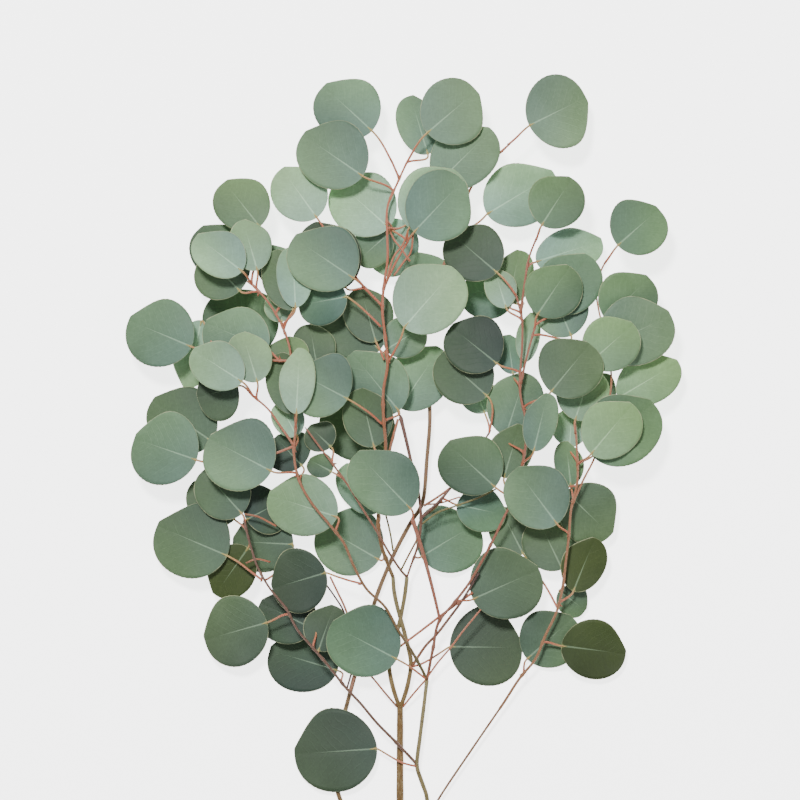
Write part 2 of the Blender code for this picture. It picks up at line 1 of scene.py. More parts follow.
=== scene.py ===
"""The eucalyptus branch with its looks: fine leaves, twigs and bark in place of the frame's plain solids.

The plan is drawn from above on a grid of steps, x to the right and y down. Heights and radii are in
millimetres. The leaves, twigs and stalks are laid out as in the part, but some twigs and stalks take a way of
their own. All are meshed finely and given procedural materials.
"""

import math
from collections import namedtuple

import bpy
import numpy as np
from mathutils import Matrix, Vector

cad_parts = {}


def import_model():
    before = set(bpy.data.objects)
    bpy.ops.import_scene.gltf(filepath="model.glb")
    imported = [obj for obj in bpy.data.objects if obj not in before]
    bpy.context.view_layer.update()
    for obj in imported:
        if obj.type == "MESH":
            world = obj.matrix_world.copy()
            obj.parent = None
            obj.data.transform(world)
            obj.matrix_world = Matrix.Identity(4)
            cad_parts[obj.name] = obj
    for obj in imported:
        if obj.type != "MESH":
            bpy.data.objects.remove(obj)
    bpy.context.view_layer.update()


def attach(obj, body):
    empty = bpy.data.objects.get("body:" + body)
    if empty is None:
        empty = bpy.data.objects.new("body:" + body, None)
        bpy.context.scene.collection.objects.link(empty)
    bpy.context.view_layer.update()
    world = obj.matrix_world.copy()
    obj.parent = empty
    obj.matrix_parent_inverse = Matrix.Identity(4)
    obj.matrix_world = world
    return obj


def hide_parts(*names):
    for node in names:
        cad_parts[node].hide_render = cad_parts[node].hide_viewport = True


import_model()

# The drawing: how much the whole of it measures, in metres, and its grid.
MM = 0.001
DRAWN_HEIGHT = 0.68
DRAWN_STEPS = 800
STEP = DRAWN_HEIGHT / DRAWN_STEPS
MIDDLE_STEP = 400

# The part's leaf blades, in metres: thickness, and how much each one cups, ripples and arches.
BLADE_THICKNESS = 0.0008
BLADE_CUP = 0.0022
BLADE_RIPPLE = 0.0013
BLADE_ARCH = 0.0020
RIPPLE_TURN = 7.0
RIPPLE_SHIFT = 1.3
RIPPLE_SPREAD = 0.5
RIPPLE_CHANCE = 3
GOLDEN_TURN = math.pi * (3 - math.sqrt(5))

# The outline of the part's blade: a short point at the stalk, round sides and a blunter outer end.
BASE_ROUNDNESS = 0.60
END_ROUNDNESS = 0.44

# Leaf stalks, in metres: how far behind the blade one leaves its twig, and how it swings round to the blade.
STALK_REACH = 0.012
STALK_RAISE = 0.00025
STALK_SWING = 0.6
STALK_START = 0.30
STALK_END = 0.35
SUNK_PARTS = (0.04, 0.09)

# Clearances in the pile, in metres.
LEAF_GAP = 0.0014
TWIG_GAP = 0.0010
STUB_LENGTH = 0.009

# Layers: a leaf below TWIG_LAYER hangs under the twigs, one above it lies on them, one at 0 on the table.
TWIG_LAYER = 5.5
LAYER_RISE = 0.0035

# A settling leaf tries these slopes along and across itself. It prefers to droop a little and to lie low.
RISES = np.linspace(-0.30, 0.24, 19)
ROLLS = np.linspace(-0.20, 0.20, 11)
REST_RISE = -0.10
SLOPE_COST = 0.10
LIFT_COST = 0.40

# Over how many fine points a lifted twig keeps its highest need, and over how many it leaves its root.
LIFT_REACH = 6
ROOT_POINTS = 10

# The height map of the pile, and how closely a blade is felt over it.
CELL = 0.0025
PILE_CORNER = (-0.30, -0.14)
PILE_CELLS = (240, 320)
FELT_T = np.linspace(-0.03, 1.03, 27)[:, None]
FELT_V = np.linspace(-1.07, 1.07, 27)[None, :]
LAID_T = np.linspace(0, 1, 31)[:, None]
LAID_V = np.linspace(-1, 1, 31)[None, :]

# How the part's routes are cut.
TWIG_SPACING = 0.022
FINE_SPACING = 0.003
SEAT_POINTS = 6
CURVE_CUTS = 12
BLADE_ROWS = (0.0, 0.07, 0.26, 0.52, 0.77, 0.95, 1.0)

Stem = namedtuple("Stem", "root_radius tip_radius route")
Leaf = namedtuple("Leaf", "base_x base_y tip_x tip_y width layer")
Blade = namedtuple("Blade", "base along across length half_width rise roll shape")

# How finely the shown pieces are cut, and how densely their routes are followed, in metres.
BLADE_STEPS = 60
BLADE_COLUMNS = (0.0, 0.04, 0.16, 0.40, 0.66, 0.88, 1.0)
WOOD_SIDES = 16
TWIG_SIDES = 9
STALK_SIDES = 7
WOOD_RINGS = 0.004
TWIG_RINGS = 0.003
STALK_RINGS = 0.002

# A shown blade, in metres: thickness along its midrib and at its rim, midrib groove, edge waves and notch.
RIB_THICKNESS = 0.0008
RIM_THICKNESS = 0.0004
RIB_GROOVE = 0.00022
RIB_GROOVE_WIDTH = 0.0011
EDGE_WAVE = 0.00035
EDGE_WAVES = 17.0
NOTCH_DEPTH = 0.0015
NOTCH_WIDTH = 0.45

# The shown blade's outline: one side runs straight to the tip from a shoulder, the other is full.
SHOWN_BASE_ROUNDNESS = 0.52
SHOWN_END_ROUNDNESS = 0.47
FULL_WIDTH = 0.97
STRAIGHT_WIDTH = 1.05
STRAIGHT_SLOPE = 2.25
SLOPE_SPREAD = 0.9
STRAIGHT_END = 0.12
SHOULDER = 6.5
LOW_SHOULDERS = (("crown", 2), ("crown", 5), ("upper_right", 0))
OUTLINE_WAVE = 0.016
OUTLINE_WAVES = 5.0
SCALLOP = 0.007
SCALLOPS = 147.0
SCALLOP_BEAT = 1.7

# Stalks and twigs, in metres and as parts of a radius: tapering, swollen nodes, buds in the corners, ends.
STALK_ROOT_RADIUS = 0.00102
STALK_END_RADIUS = 0.00080
NODE_SWELL = 0.45
NODE_LENGTH = 0.0022
BUD_LENGTH = 0.0042
BUD_RADIUS = 0.0009
BUD_EVERY = 2
BUD_RISE = 0.4
BUD_REACH = (0.0, 0.25, 0.5, 0.75, 1.0)
BUD_SWELL = (0.7, 1.0, 0.9, 0.55, 0.08)
NO_LENGTH = 1e-9
TWIG_END_SHARES = (0.8, 0.45)
STALK_END_SHARES = (0.6, 0.3)

# Leaf tones, in linear colour, and the tone of each leaf of a spray. Most tones are the leaves' own colours,
# but a few leaves that lie in shade under others have paler tones than their own: painted light.
TONE_COLOURS = {
    "pale": (0.190, 0.305, 0.205),
    "light": (0.140, 0.230, 0.145),
    "pale_gold": (0.145, 0.245, 0.122),
    "mid": (0.100, 0.165, 0.108),
    "green": (0.085, 0.146, 0.076),
    "blue": (0.074, 0.136, 0.090),
    "moss": (0.062, 0.102, 0.058),
    "dark": (0.050, 0.082, 0.050),
    "deep": (0.036, 0.058, 0.038),
    "night": (0.026, 0.044, 0.030),
    "olive": (0.030, 0.046, 0.011),
}
TONES = {
    "crown": (
        "mid mid mid mid pale mid pale pale pale mid pale mid night blue dark dark mid moss moss mid mid"
        " light mid"
    ),
    "upper_left": (
        "green pale light dark moss blue mid pale light deep pale moss moss blue mid moss pale moss pale"
        " mid light green pale light night blue dark"
    ),
    "inner_left": "deep moss",
    "lower_left": "deep dark moss olive night dark night night deep deep dark dark",
    "middle": "light blue blue dark pale",
    "inner_right": (
        "mid dark moss night deep mid pale green green blue pale green moss mid light blue mid moss mid"
        " moss deep"
    ),
    "outer_right": (
        "moss olive moss light olive moss mid moss green pale light moss pale_gold green pale_gold mid"
        " green pale_gold green"
    ),
    "upper_right": "mid pale mid mid",
}

# What varies by chance from leaf to leaf, each with a share of its own, and how colour shifts over a leaf.
TURN, NOTCH, CHANCE, LIGHT, HUE, SLOPE = range(1, 7)
SPRAY_NUMBERS = 31
TONE_SPREAD = 0.10
TONE_HUE = 0.05
GOLDEN_SHARE = 0.6180339887
SALT_SHARE = 0.3819
BLOOM_SHIFT = (1.20, 1.16, 1.24)
BASE_COLOUR = (0.30, 0.33, 0.11)
WARM_SHIFT = (0.99, 1.03, 0.78)
COOL_SHIFT = (0.98, 1.02, 1.10)
VEIN_SHIFT = (1.45, 1.40, 1.40)
RIB_COLOUR = (0.30, 0.42, 0.29)
RIB_SHIFT = (2.0, 1.9, 1.9)
RIM_COLOUR = (0.36, 0.38, 0.22)

# Twigs, stalks, buds and wood: radii as shares of the part's, and linear colours.
TWIG_ROOT_SHARE = 1.10
TWIG_TIP_SHARE = 0.98
TWIG_BLUSH = 1.4
TWIG_COLOURS = {
    "crown": ((0.125, 0.078, 0.030), (0.33, 0.095, 0.050)),
    "upper_left": ((0.075, 0.066, 0.020), (0.310, 0.110, 0.064)),
    "outer_right": ((0.200, 0.098, 0.045), (0.275, 0.110, 0.056)),
    "lower_left": ((0.105, 0.055, 0.034), (0.110, 0.058, 0.042)),
    "inner_left": ((0.120, 0.060, 0.034), (0.210, 0.085, 0.052)),
    "inner_right": ((0.180, 0.070, 0.042), (0.240, 0.085, 0.052)),
    "middle": ((0.160, 0.068, 0.042), (0.105, 0.050, 0.038)),
    "upper_right": ((0.16, 0.075, 0.035), (0.31, 0.105, 0.060)),
}
STALK_ROOT_COLOUR = (0.36, 0.105, 0.058)
STALK_END_COLOUR = (0.34, 0.32, 0.10)
STALK_TURN = 2.8
BUD_COLOUR = (0.24, 0.08, 0.04)
TWIG_FILM_COLOUR = (0.34, 0.20, 0.14)
WOOD_SHARE = 1.08
SLIM_STEM_SHARES = {"outer": 0.74}
WOOD_UNEVEN = 0.03
WOOD_TURN = 0.9
WOOD_INSET = 0.0004
STEM_COLOURS = {
    "trunk": ((0.12, 0.068, 0.022), (0.12, 0.064, 0.018)),
    "back": ((0.1, 0.062, 0.018), (0.190, 0.100, 0.070)),
    "fork_left": ((0.13, 0.075, 0.022), (0.15, 0.135, 0.065)),
    "fork_right": ((0.13, 0.075, 0.022), (0.15, 0.135, 0.065)),
    "side": ((0.09, 0.07, 0.02), (0.19, 0.17, 0.085)),
    "outer": ((0.145, 0.075, 0.055), (0.190, 0.090, 0.055)),
}
BARK_LIGHT_COLOUR = (0.22, 0.16, 0.075)
BARK_SCAR_COLOUR = (0.035, 0.022, 0.01)
CUT_RINGS = (1.0, 0.86, 0.80, 0.55, 0.50, 0.22, 0.16, 0.04)
CUT_COLOURS = (
    (0.16, 0.10, 0.05), (0.30, 0.22, 0.11), (0.56, 0.45, 0.27), (0.52, 0.40, 0.23), (0.60, 0.48, 0.29),
    (0.56, 0.44, 0.26), (0.34, 0.23, 0.12), (0.24, 0.15, 0.08),
)
CUT_STAND = 0.00005

# Where a mix node keeps its part and its two colours, and its colour output.
MIX_INPUTS = (0, 6, 7)
MIX_OUTPUT = 2

# The leaf's pattern. A range turns its first two values and those between into 0 and 1 or its last two.
# Painted shade across each blade: how much darker one half of it is, and how much lighter the other.
SHADE_SLANT_RANGE = (-0.4, 0.4, 0.68, 1.26)
GREEN_SLANT = 0.9
GREEN_START = 0.45
GREEN_RISE = 0.7
GREEN_RANGE = (-0.40, 0.40)
BROAD_NOISE = (38.0, 3.0)
BLOOM_RANGE = (0.35, 0.70)
FINE_NOISE = (420.0, 4.0, 0.6)
SPECK_RANGE = (0.25, 0.75, 0.92, 1.07)
VEIN_WOBBLE = 0.22
VEIN_SLANT = 0.95
VEIN_COUNT = 8.0
VEIN_START = 10.0
VEIN_RANGE = (0.0, 0.09, 1.0, 0.0)
VEIN_FADE = (1.0, 9.0)
VEIN_SHARE = 0.30
VEIN_HEIGHT = 0.35
RIB_WIDTH = (0.0, 0.75, 0.80, 0.28)
RIB_RANGE = (0.25, 1.5, 1.0, 0.0)
RIB_FADE = (0.35, 0.85, 1.0, 0.0)
RIB_PALE = 0.35
RIB_SHARE = 0.80
RIB_HEIGHT = 0.9
BASE_SPREAD = 1.4
BASE_RANGE = (0.5, 4.5, 0.75, 0.0)
RIM_RANGE = (0.15, 0.70, 1.0, 0.0)
RIM_NOISE = (70.0, 2.0)
RIM_BREAKS = (0.38, 0.62, 0.30, 0.85)
FINE_HEIGHT = 0.30
LEAF_ROUGH = (0.3, 0.7, 0.62, 0.74)
LEAF_SHINE = 0.35
LEAF_BUMP = 0.00025

# The pattern of twigs and of bark: streaks along and around, patches or scars, roughness, shine and bump.
TWIG_STREAKS = (0.12, 3.0)
TWIG_STREAK_NOISE = (3.0, 3.0)
TWIG_PATCH_NOISE = (160.0, 3.0)
TWIG_LIGHT = (0.3, 0.7, 0.84, 1.16)
TWIG_FILM = (0.5, 0.8, 0.0, 0.35)
TWIG_ROUGH = (0.3, 0.7, 0.50, 0.66)
TWIG_SHINE = 0.4
TWIG_BUMP = 0.00012
BARK_STREAKS = (0.06, 6.0)
BARK_STREAK_NOISE = (2.4, 4.0, 0.6)
BARK_SCAR_NOISE = (260.0, 2.0)
BARK_LIGHT = (0.42, 0.66, 0.0, 0.8)
BARK_SCARS = (0.58, 0.70, 0.0, 0.5)
BARK_SCAR_DEPTH = 0.4
BARK_ROUGH = (0.3, 0.7, 0.66, 0.82)
BARK_SHINE = 0.3
BARK_BUMP = 0.00030

# Thin twigs that only the shown branch has, by spray: radii and colours of their two ends, and their route.
CORAL = (0.34, 0.115, 0.062)
RUST = (0.20, 0.085, 0.045)
PLUM = (0.050, 0.028, 0.026)
MOSS = (0.12, 0.105, 0.035)
THIN_TWIGS = {
    "inner_right": (
        (1.3, 1.1, RUST, PLUM, (
            (412, 668, 12), (425, 648, 16), (437, 635, 20), (450, 618, 22), (463, 600, 25), (479, 573, 28),
        )),
        (1.0, 1.2, CORAL, CORAL, (
            (384, 661, 15), (397, 650, 17), (418, 634, 20), (440, 617, 23), (456, 605, 24), (473, 593, 24),
        )),
        (0.9, 0.7, CORAL, CORAL, (
            (426, 681, 15), (437, 665, 18), (452, 647, 21), (463, 632, 23), (481, 610, 25),
        )),
        (0.9, 0.9, CORAL, CORAL, ((403, 709, 8), (414, 695, 12), (426, 681, 15))),
    ),
    "upper_left": (
        (1.0, 0.8, RUST, CORAL, ((397, 709, 8), (386, 696, 11), (373, 680, 14), (362, 668, 16))),
    ),
    "lower_left": (
        (0.9, 0.8, RUST, CORAL, ((245, 514, 38), (259, 517, 37), (276, 526, 33))),
        (0.8, 0.8, RUST, CORAL, ((246, 563, 37), (257, 559, 37.5), (270, 562, 34))),
        (0.8, 0.9, PLUM, PLUM, (
            (325, 584, 23), (335, 598, 21), (344, 614, 17), (350, 640, 16.5), (352, 668, 18),
            (347, 689, 24),
        )),
        (0.9, 1.1, CORAL, RUST, (
            (330, 577, 26), (337, 592, 22), (346, 612, 18), (353, 640, 16), (355, 670, 18),
            (350, 694, 23.5),
        )),
    ),
    "middle": (
        (0.9, 0.9, MOSS, RUST, ((401, 571, 17), (407, 559, 20), (417, 540, 24))),
        (1.1, 1.0, RUST, CORAL, ((424, 506, 26), (438, 497, 29.5), (453, 486, 31))),
        (0.8, 0.7, RUST, CORAL, ((424, 505, 27), (441, 503, 29), (460, 497, 30))),
        (0.9, 0.7, MOSS, MOSS, (
            (421, 525, 26), (437, 513, 28.5), (456, 506, 30), (478, 498, 32), (496, 489, 34),
        )),
        (0.8, 0.8, MOSS, RUST, ((423, 517, 27), (436, 507, 29.5), (450, 489, 31.5))),
    ),
    "crown": (
        (0.9, 0.8, MOSS, MOSS, ((393, 552, 10), (390, 533, 18), (385, 512, 25))),
        (1.2, 1.2, RUST, CORAL, ((389, 453, 41), (393, 437, 42.5), (398, 419, 43))),
        (0.8, 0.9, CORAL, CORAL, ((408, 231, 51), (403, 245, 49.5), (393, 259, 49.5), (386, 284, 48.5))),
        (0.8, 0.9, CORAL, CORAL, ((390, 231, 40), (394, 240, 49), (401, 249, 50), (410, 262, 50))),
        (0.8, 0.9, CORAL, CORAL, ((413, 234, 53), (411, 252, 50), (404, 262, 49), (394, 276, 49))),
    ),
}

# Shown radii of twigs that aren't as thick as the part's, in millimetres, by spray and order.
TWIG_RADII = {
    ("middle", 0): (0.8, 1.7),
    ("inner_right", 3): (1.15, 1.9),
    ("outer_right", 0): (1.1, 0.9),
    ("outer_right", 1): (0.85, 0.75),
}

# Stalks that take a way of their own before they join their blade, by spray and leaf.
STALK_ROUTES = {
    ("inner_right", 20): ((412, 668, 12), (420, 666, 14), (430, 661, 12), (440, 655, 6)),
    ("upper_left", 25): ((427, 681, 15), (418, 674, 19), (409, 667, 22)),
    ("upper_left", 10): ((212, 350, 38), (211, 340, 32), (209, 332, 27), (205, 325, 23.5)),
    ("lower_left", 6): ((362, 584, 32), (350, 581, 31), (337, 577, 29.5)),
    ("upper_left", 15): ((284, 330, 47.5), (287, 322, 49.5), (291, 315, 50.8)),
    ("lower_left", 0): ((418, 769, 10), (409, 767, 11.5), (398, 763, 12)),
    ("lower_left", 2): ((262, 580, 36), (250, 571, 34.5), (238, 562, 32)),
    ("lower_left", 5): ((262, 577, 36), (266, 580, 24), (278, 571, 14), (290, 556, 17.5)),
    ("outer_right", 5): ((563, 588, 27), (562, 590, 18)),
    ("crown", 8): ((388, 228, 46), (396, 229, 40), (404, 226, 31)),
    ("crown", 10): ((388, 362, 47.6), (394, 352, 50), (401, 338, 52.8)),
    ("crown", 13): ((381, 327, 48), (371, 317, 48), (358, 305, 47.6)),
    ("crown", 15): ((384, 360, 45), (380, 350, 39)),
    ("crown", 19): ((382, 424, 44.4), (371, 414, 47), (358, 405, 48)),
    ("outer_right", 14): ((573, 357, 40), (578, 358, 46)),
    ("outer_right", 15): ((573, 352, 42), (585, 352, 45)),
    ("outer_right", 16): ((604, 331, 38.3), (605, 326, 39.6)),
    ("outer_right", 18): ((604, 264, 41.2), (609, 257, 43.3), (613, 251, 44.8)),
    ("inner_right", 19): ((558, 609, 26.3), (548, 590, 16), (533, 567, 13.5)),
    ("upper_right", 0): ((508, 145, 38), (516, 138, 38.8), (523, 131, 39.1)),
    ("upper_right", 1): ((458, 228, 30.3), (470, 227, 30.5), (480, 221, 31.7)),
    ("upper_right", 2): ((459, 222, 31), (450, 205, 34), (441, 191, 37.5)),
}

# Twigs that run under leaves here and over them in the part, by spray and order.
TWIG_ROUTES = {
    ("upper_right", 0): (
        (418, 330, 13), (418, 321, 17.2), (423, 304, 30), (435, 281, 33), (445, 262, 31), (453, 243, 29.5),
        (459, 222, 30.5), (464, 204, 32), (474, 182, 35), (487, 165, 36.5), (501, 152, 37.6),
        (514, 140, 38.6),
    ),
    ("outer_right", 0): (
        (500, 711, 12), (506, 702, 12.8), (520, 680, 16.3), (536, 660, 19.1), (546, 636, 22.6),
        (557, 612, 26), (563, 587, 28.9), (566, 561, 31.8), (569, 535, 34.7), (571, 509, 37.4),
        (577, 483, 39.7), (577, 457, 41.2), (576, 440, 41), (575, 424, 37.5), (575, 408, 32.5),
        (575, 390, 29.5), (574, 373, 31.5), (573, 361, 38), (573, 350, 42),
    ),
    ("outer_right", 1): (
        (572, 504, 37.9), (583, 480, 40), (594, 458, 40.8), (601, 433, 41.3), (607, 408, 41.8),
        (611, 383, 41.5), (609, 358, 40), (604, 333, 38), (598, 307, 36.5), (596, 287, 37),
        (602, 268, 40.5), (609, 257, 43),
    ),
}

# The stage, in metres and watts.
FLOOR_SIZE = 8.0
FLOOR_CORNERS = ((-1, -1), (1, -1), (1, 1), (-1, 1))
FLOOR_DROP = -0.0002
FLOOR_NOISE = (300.0, 3.0)
FLOOR_LIGHT = (0.3, 0.7, 0.92, 0.93)
FLOOR_ROUGH = (0.3, 0.7, 0.85, 0.92)
FLOOR_SHINE = 0.1
FLOOR_BUMP = 0.00003
FLOOR_GLOW = 3.2
KEY_PLACE = (-0.8, 1.9, 4.4)
KEY_SIZE = 0.8
KEY_ENERGY = 335.0
FILL_PLACE = (1.4, -0.6, 2.4)
FILL_SIZE = 2.0
FILL_ENERGY = 12.0
WORLD_STRENGTH = 0.40
WHITE = (1.0, 1.0, 1.0, 1.0)
CAMERA_LENS = 200.0
CAMERA_SENSOR = 36.0
CAMERA_FOCUS = 35.0
CAMERA_REACH = 20.0

# Woody stems. A route's points are (x, y, height).
STEMS = {
    "trunk": Stem(3.3, 2.5, (
        (402, 905, 3.4), (401, 860, 3.4), (400, 800, 4), (400, 755, 5), (400, 708, 7),
    )),
    "back": Stem(1.9, 1.5, (
        (401, 878, 3.4), (385, 862, 3), (355, 832, 3), (336, 790, 3.5), (338, 742, 3.5), (347, 705, 4),
        (356, 672, 4), (366, 635, 5), (375, 602, 6), (386, 573, 7), (398, 547, 8), (411, 523, 9),
        (423, 502, 10), (427, 460, 11), (430, 420, 12), (428, 385, 12), (421, 352, 12), (418, 330, 13),
    )),
    "fork_left": Stem(1.8, 1.6, (
        (400, 711, 7), (393, 690, 9), (389, 668, 9), (391, 650, 10), (398, 630, 11), (402, 612, 13),
        (405, 595, 15), (407, 578, 17),
    )),
    "fork_right": Stem(1.8, 1.6, (
        (400, 711, 7), (407, 690, 9.5), (411, 666, 11), (408, 648, 12), (402, 625, 13), (397, 607, 14),
        (394, 592, 15.5), (393, 578, 17),
    )),
    "side": Stem(1.8, 1.5, (
        (401, 856, 3.6), (407, 848, 4.5), (418, 832, 6), (426, 815, 7), (427, 800, 8), (421, 782, 9),
        (417, 767, 10), (420, 740, 11.5), (424, 708, 13), (427, 682, 15),
    )),
    "outer": Stem(1.4, 1.3, (
        (402, 876, 3.6), (412, 852, 5), (425, 828, 7), (440, 800, 8), (470, 755, 10), (500, 711, 12),
    )),
}

# Twigs of each spray. The first grows from a woody stem, the others from those before them.
TWIGS = {
    "crown": (
        Stem(1.5, 0.9, (
            (393, 578, 17), (386, 560, 18.5), (380, 540, 21.5), (378, 520, 26), (382, 490, 32),
            (386, 455, 38), (384, 425, 42), (383, 395, 45), (388, 360, 47), (385, 335, 48), (382, 305, 48),
            (384, 285, 48), (388, 255, 47), (387, 228, 45), (388, 205, 43), (399, 180, 40), (408, 160, 38),
        )),
        Stem(1, 0.8, ((399, 180, 40), (391, 160, 37))),
        Stem(1, 0.8, ((382, 305, 48), (360, 282, 46), (340, 255, 44), (324, 228, 42))),
        Stem(1, 0.8, ((383, 290, 48), (392, 270, 48), (400, 255, 48), (409, 240, 48))),
    ),
    "upper_left": (
        Stem(1.2, 0.9, (
            (427, 682, 15), (417, 660, 20), (405, 642, 25), (395, 625, 28), (385, 607, 30), (374, 597, 32),
            (362, 583, 33), (352, 562, 35), (344, 543, 37), (334, 530, 39), (322, 515, 41), (303, 490, 43),
            (296, 465, 45), (294, 446, 46), (296, 425, 47), (294, 395, 47), (291, 360, 47), (288, 338, 46),
            (278, 318, 45), (262, 293, 43), (250, 282, 41),
        )),
        Stem(1, 0.8, ((294, 446, 46), (283, 430, 46), (265, 405, 45), (252, 395, 44))),
        Stem(1, 0.8, ((291, 362, 47), (262, 360, 44), (232, 355, 41), (206, 352, 38))),
        Stem(1, 0.8, ((294, 447, 46), (270, 456, 43), (242, 463, 40), (214, 464, 37))),
    ),
    "inner_left": (
        Stem(1, 0.8, (
            (407, 578, 17), (400, 570, 20), (392, 558, 23.5), (380, 537, 28.5), (370, 520, 31),
            (358, 502, 34), (345, 480, 36), (335, 467, 37), (322, 450, 39), (312, 435, 40), (305, 427, 41),
        )),
    ),
    "lower_left": (
        Stem(1.2, 0.9, (
            (417, 767, 10), (400, 748, 14), (380, 728, 17), (360, 704, 20), (340, 682, 23), (322, 658, 26),
            (300, 634, 30), (285, 607, 33), (265, 582, 36), (257, 565, 37), (250, 543, 38), (244, 520, 38),
        )),
    ),
    "middle": (
        Stem(1.1, 0.8, (
            (407, 578, 17), (413, 560, 19.5), (419, 541, 23), (421, 520, 26), (418, 490, 30),
            (411, 462, 33), (405, 435, 35), (400, 415, 36),
        )),
        Stem(1, 0.8, (
            (421, 520, 26), (432, 510, 28), (452, 488, 31), (470, 462, 33), (482, 445, 35), (491, 430, 36),
        )),
    ),
    "inner_right": (
        Stem(1.2, 0.9, (
            (427, 682, 15), (433, 650, 18), (439, 622, 22), (452, 606, 24), (465, 590, 26), (477, 570, 28),
            (487, 552, 30), (498, 530, 33), (505, 515, 35), (515, 495, 37), (521, 470, 39), (525, 448, 41),
            (526, 425, 43), (522, 405, 44), (519, 385, 45), (521, 360, 46), (522, 335, 46), (521, 315, 46),
            (515, 293, 45),
        )),
        Stem(1, 0.8, ((519, 385, 45), (524, 365, 46), (530, 342, 46), (536, 322, 45))),
        Stem(1, 0.8, ((521, 315, 46), (524, 295, 47), (526, 268, 47), (533, 248, 45), (540, 230, 43))),
        Stem(1, 0.8, ((439, 622, 22), (430, 582, 26), (419, 541, 31), (412, 518, 33))),
    ),
    "outer_right": (
        Stem(1.3, 0.9, (
            (500, 711, 12), (521, 679, 14), (535, 661, 16), (541, 648, 18), (550, 627, 21), (559, 607, 24),
            (563, 585, 27), (567, 555, 30), (570, 530, 33), (572, 502, 36), (577, 482, 38), (577, 462, 40),
            (575, 440, 41), (575, 415, 42), (575, 385, 43), (574, 352, 43),
        )),
        Stem(1, 0.8, (
            (572, 502, 36), (580, 483, 38), (589, 468, 39), (597, 445, 39), (605, 415, 40), (611, 380, 41),
            (608, 340, 41), (603, 300, 41), (600, 272, 40), (607, 259, 39),
        )),
    ),
    "upper_right": (
        Stem(1.4, 0.9, (
            (418, 330, 13), (419, 315, 17), (425, 300, 22), (443, 268, 29), (462, 243, 32), (479, 224, 34),
            (488, 195, 36), (497, 160, 37), (504, 148, 37),
        )),
    ),
}

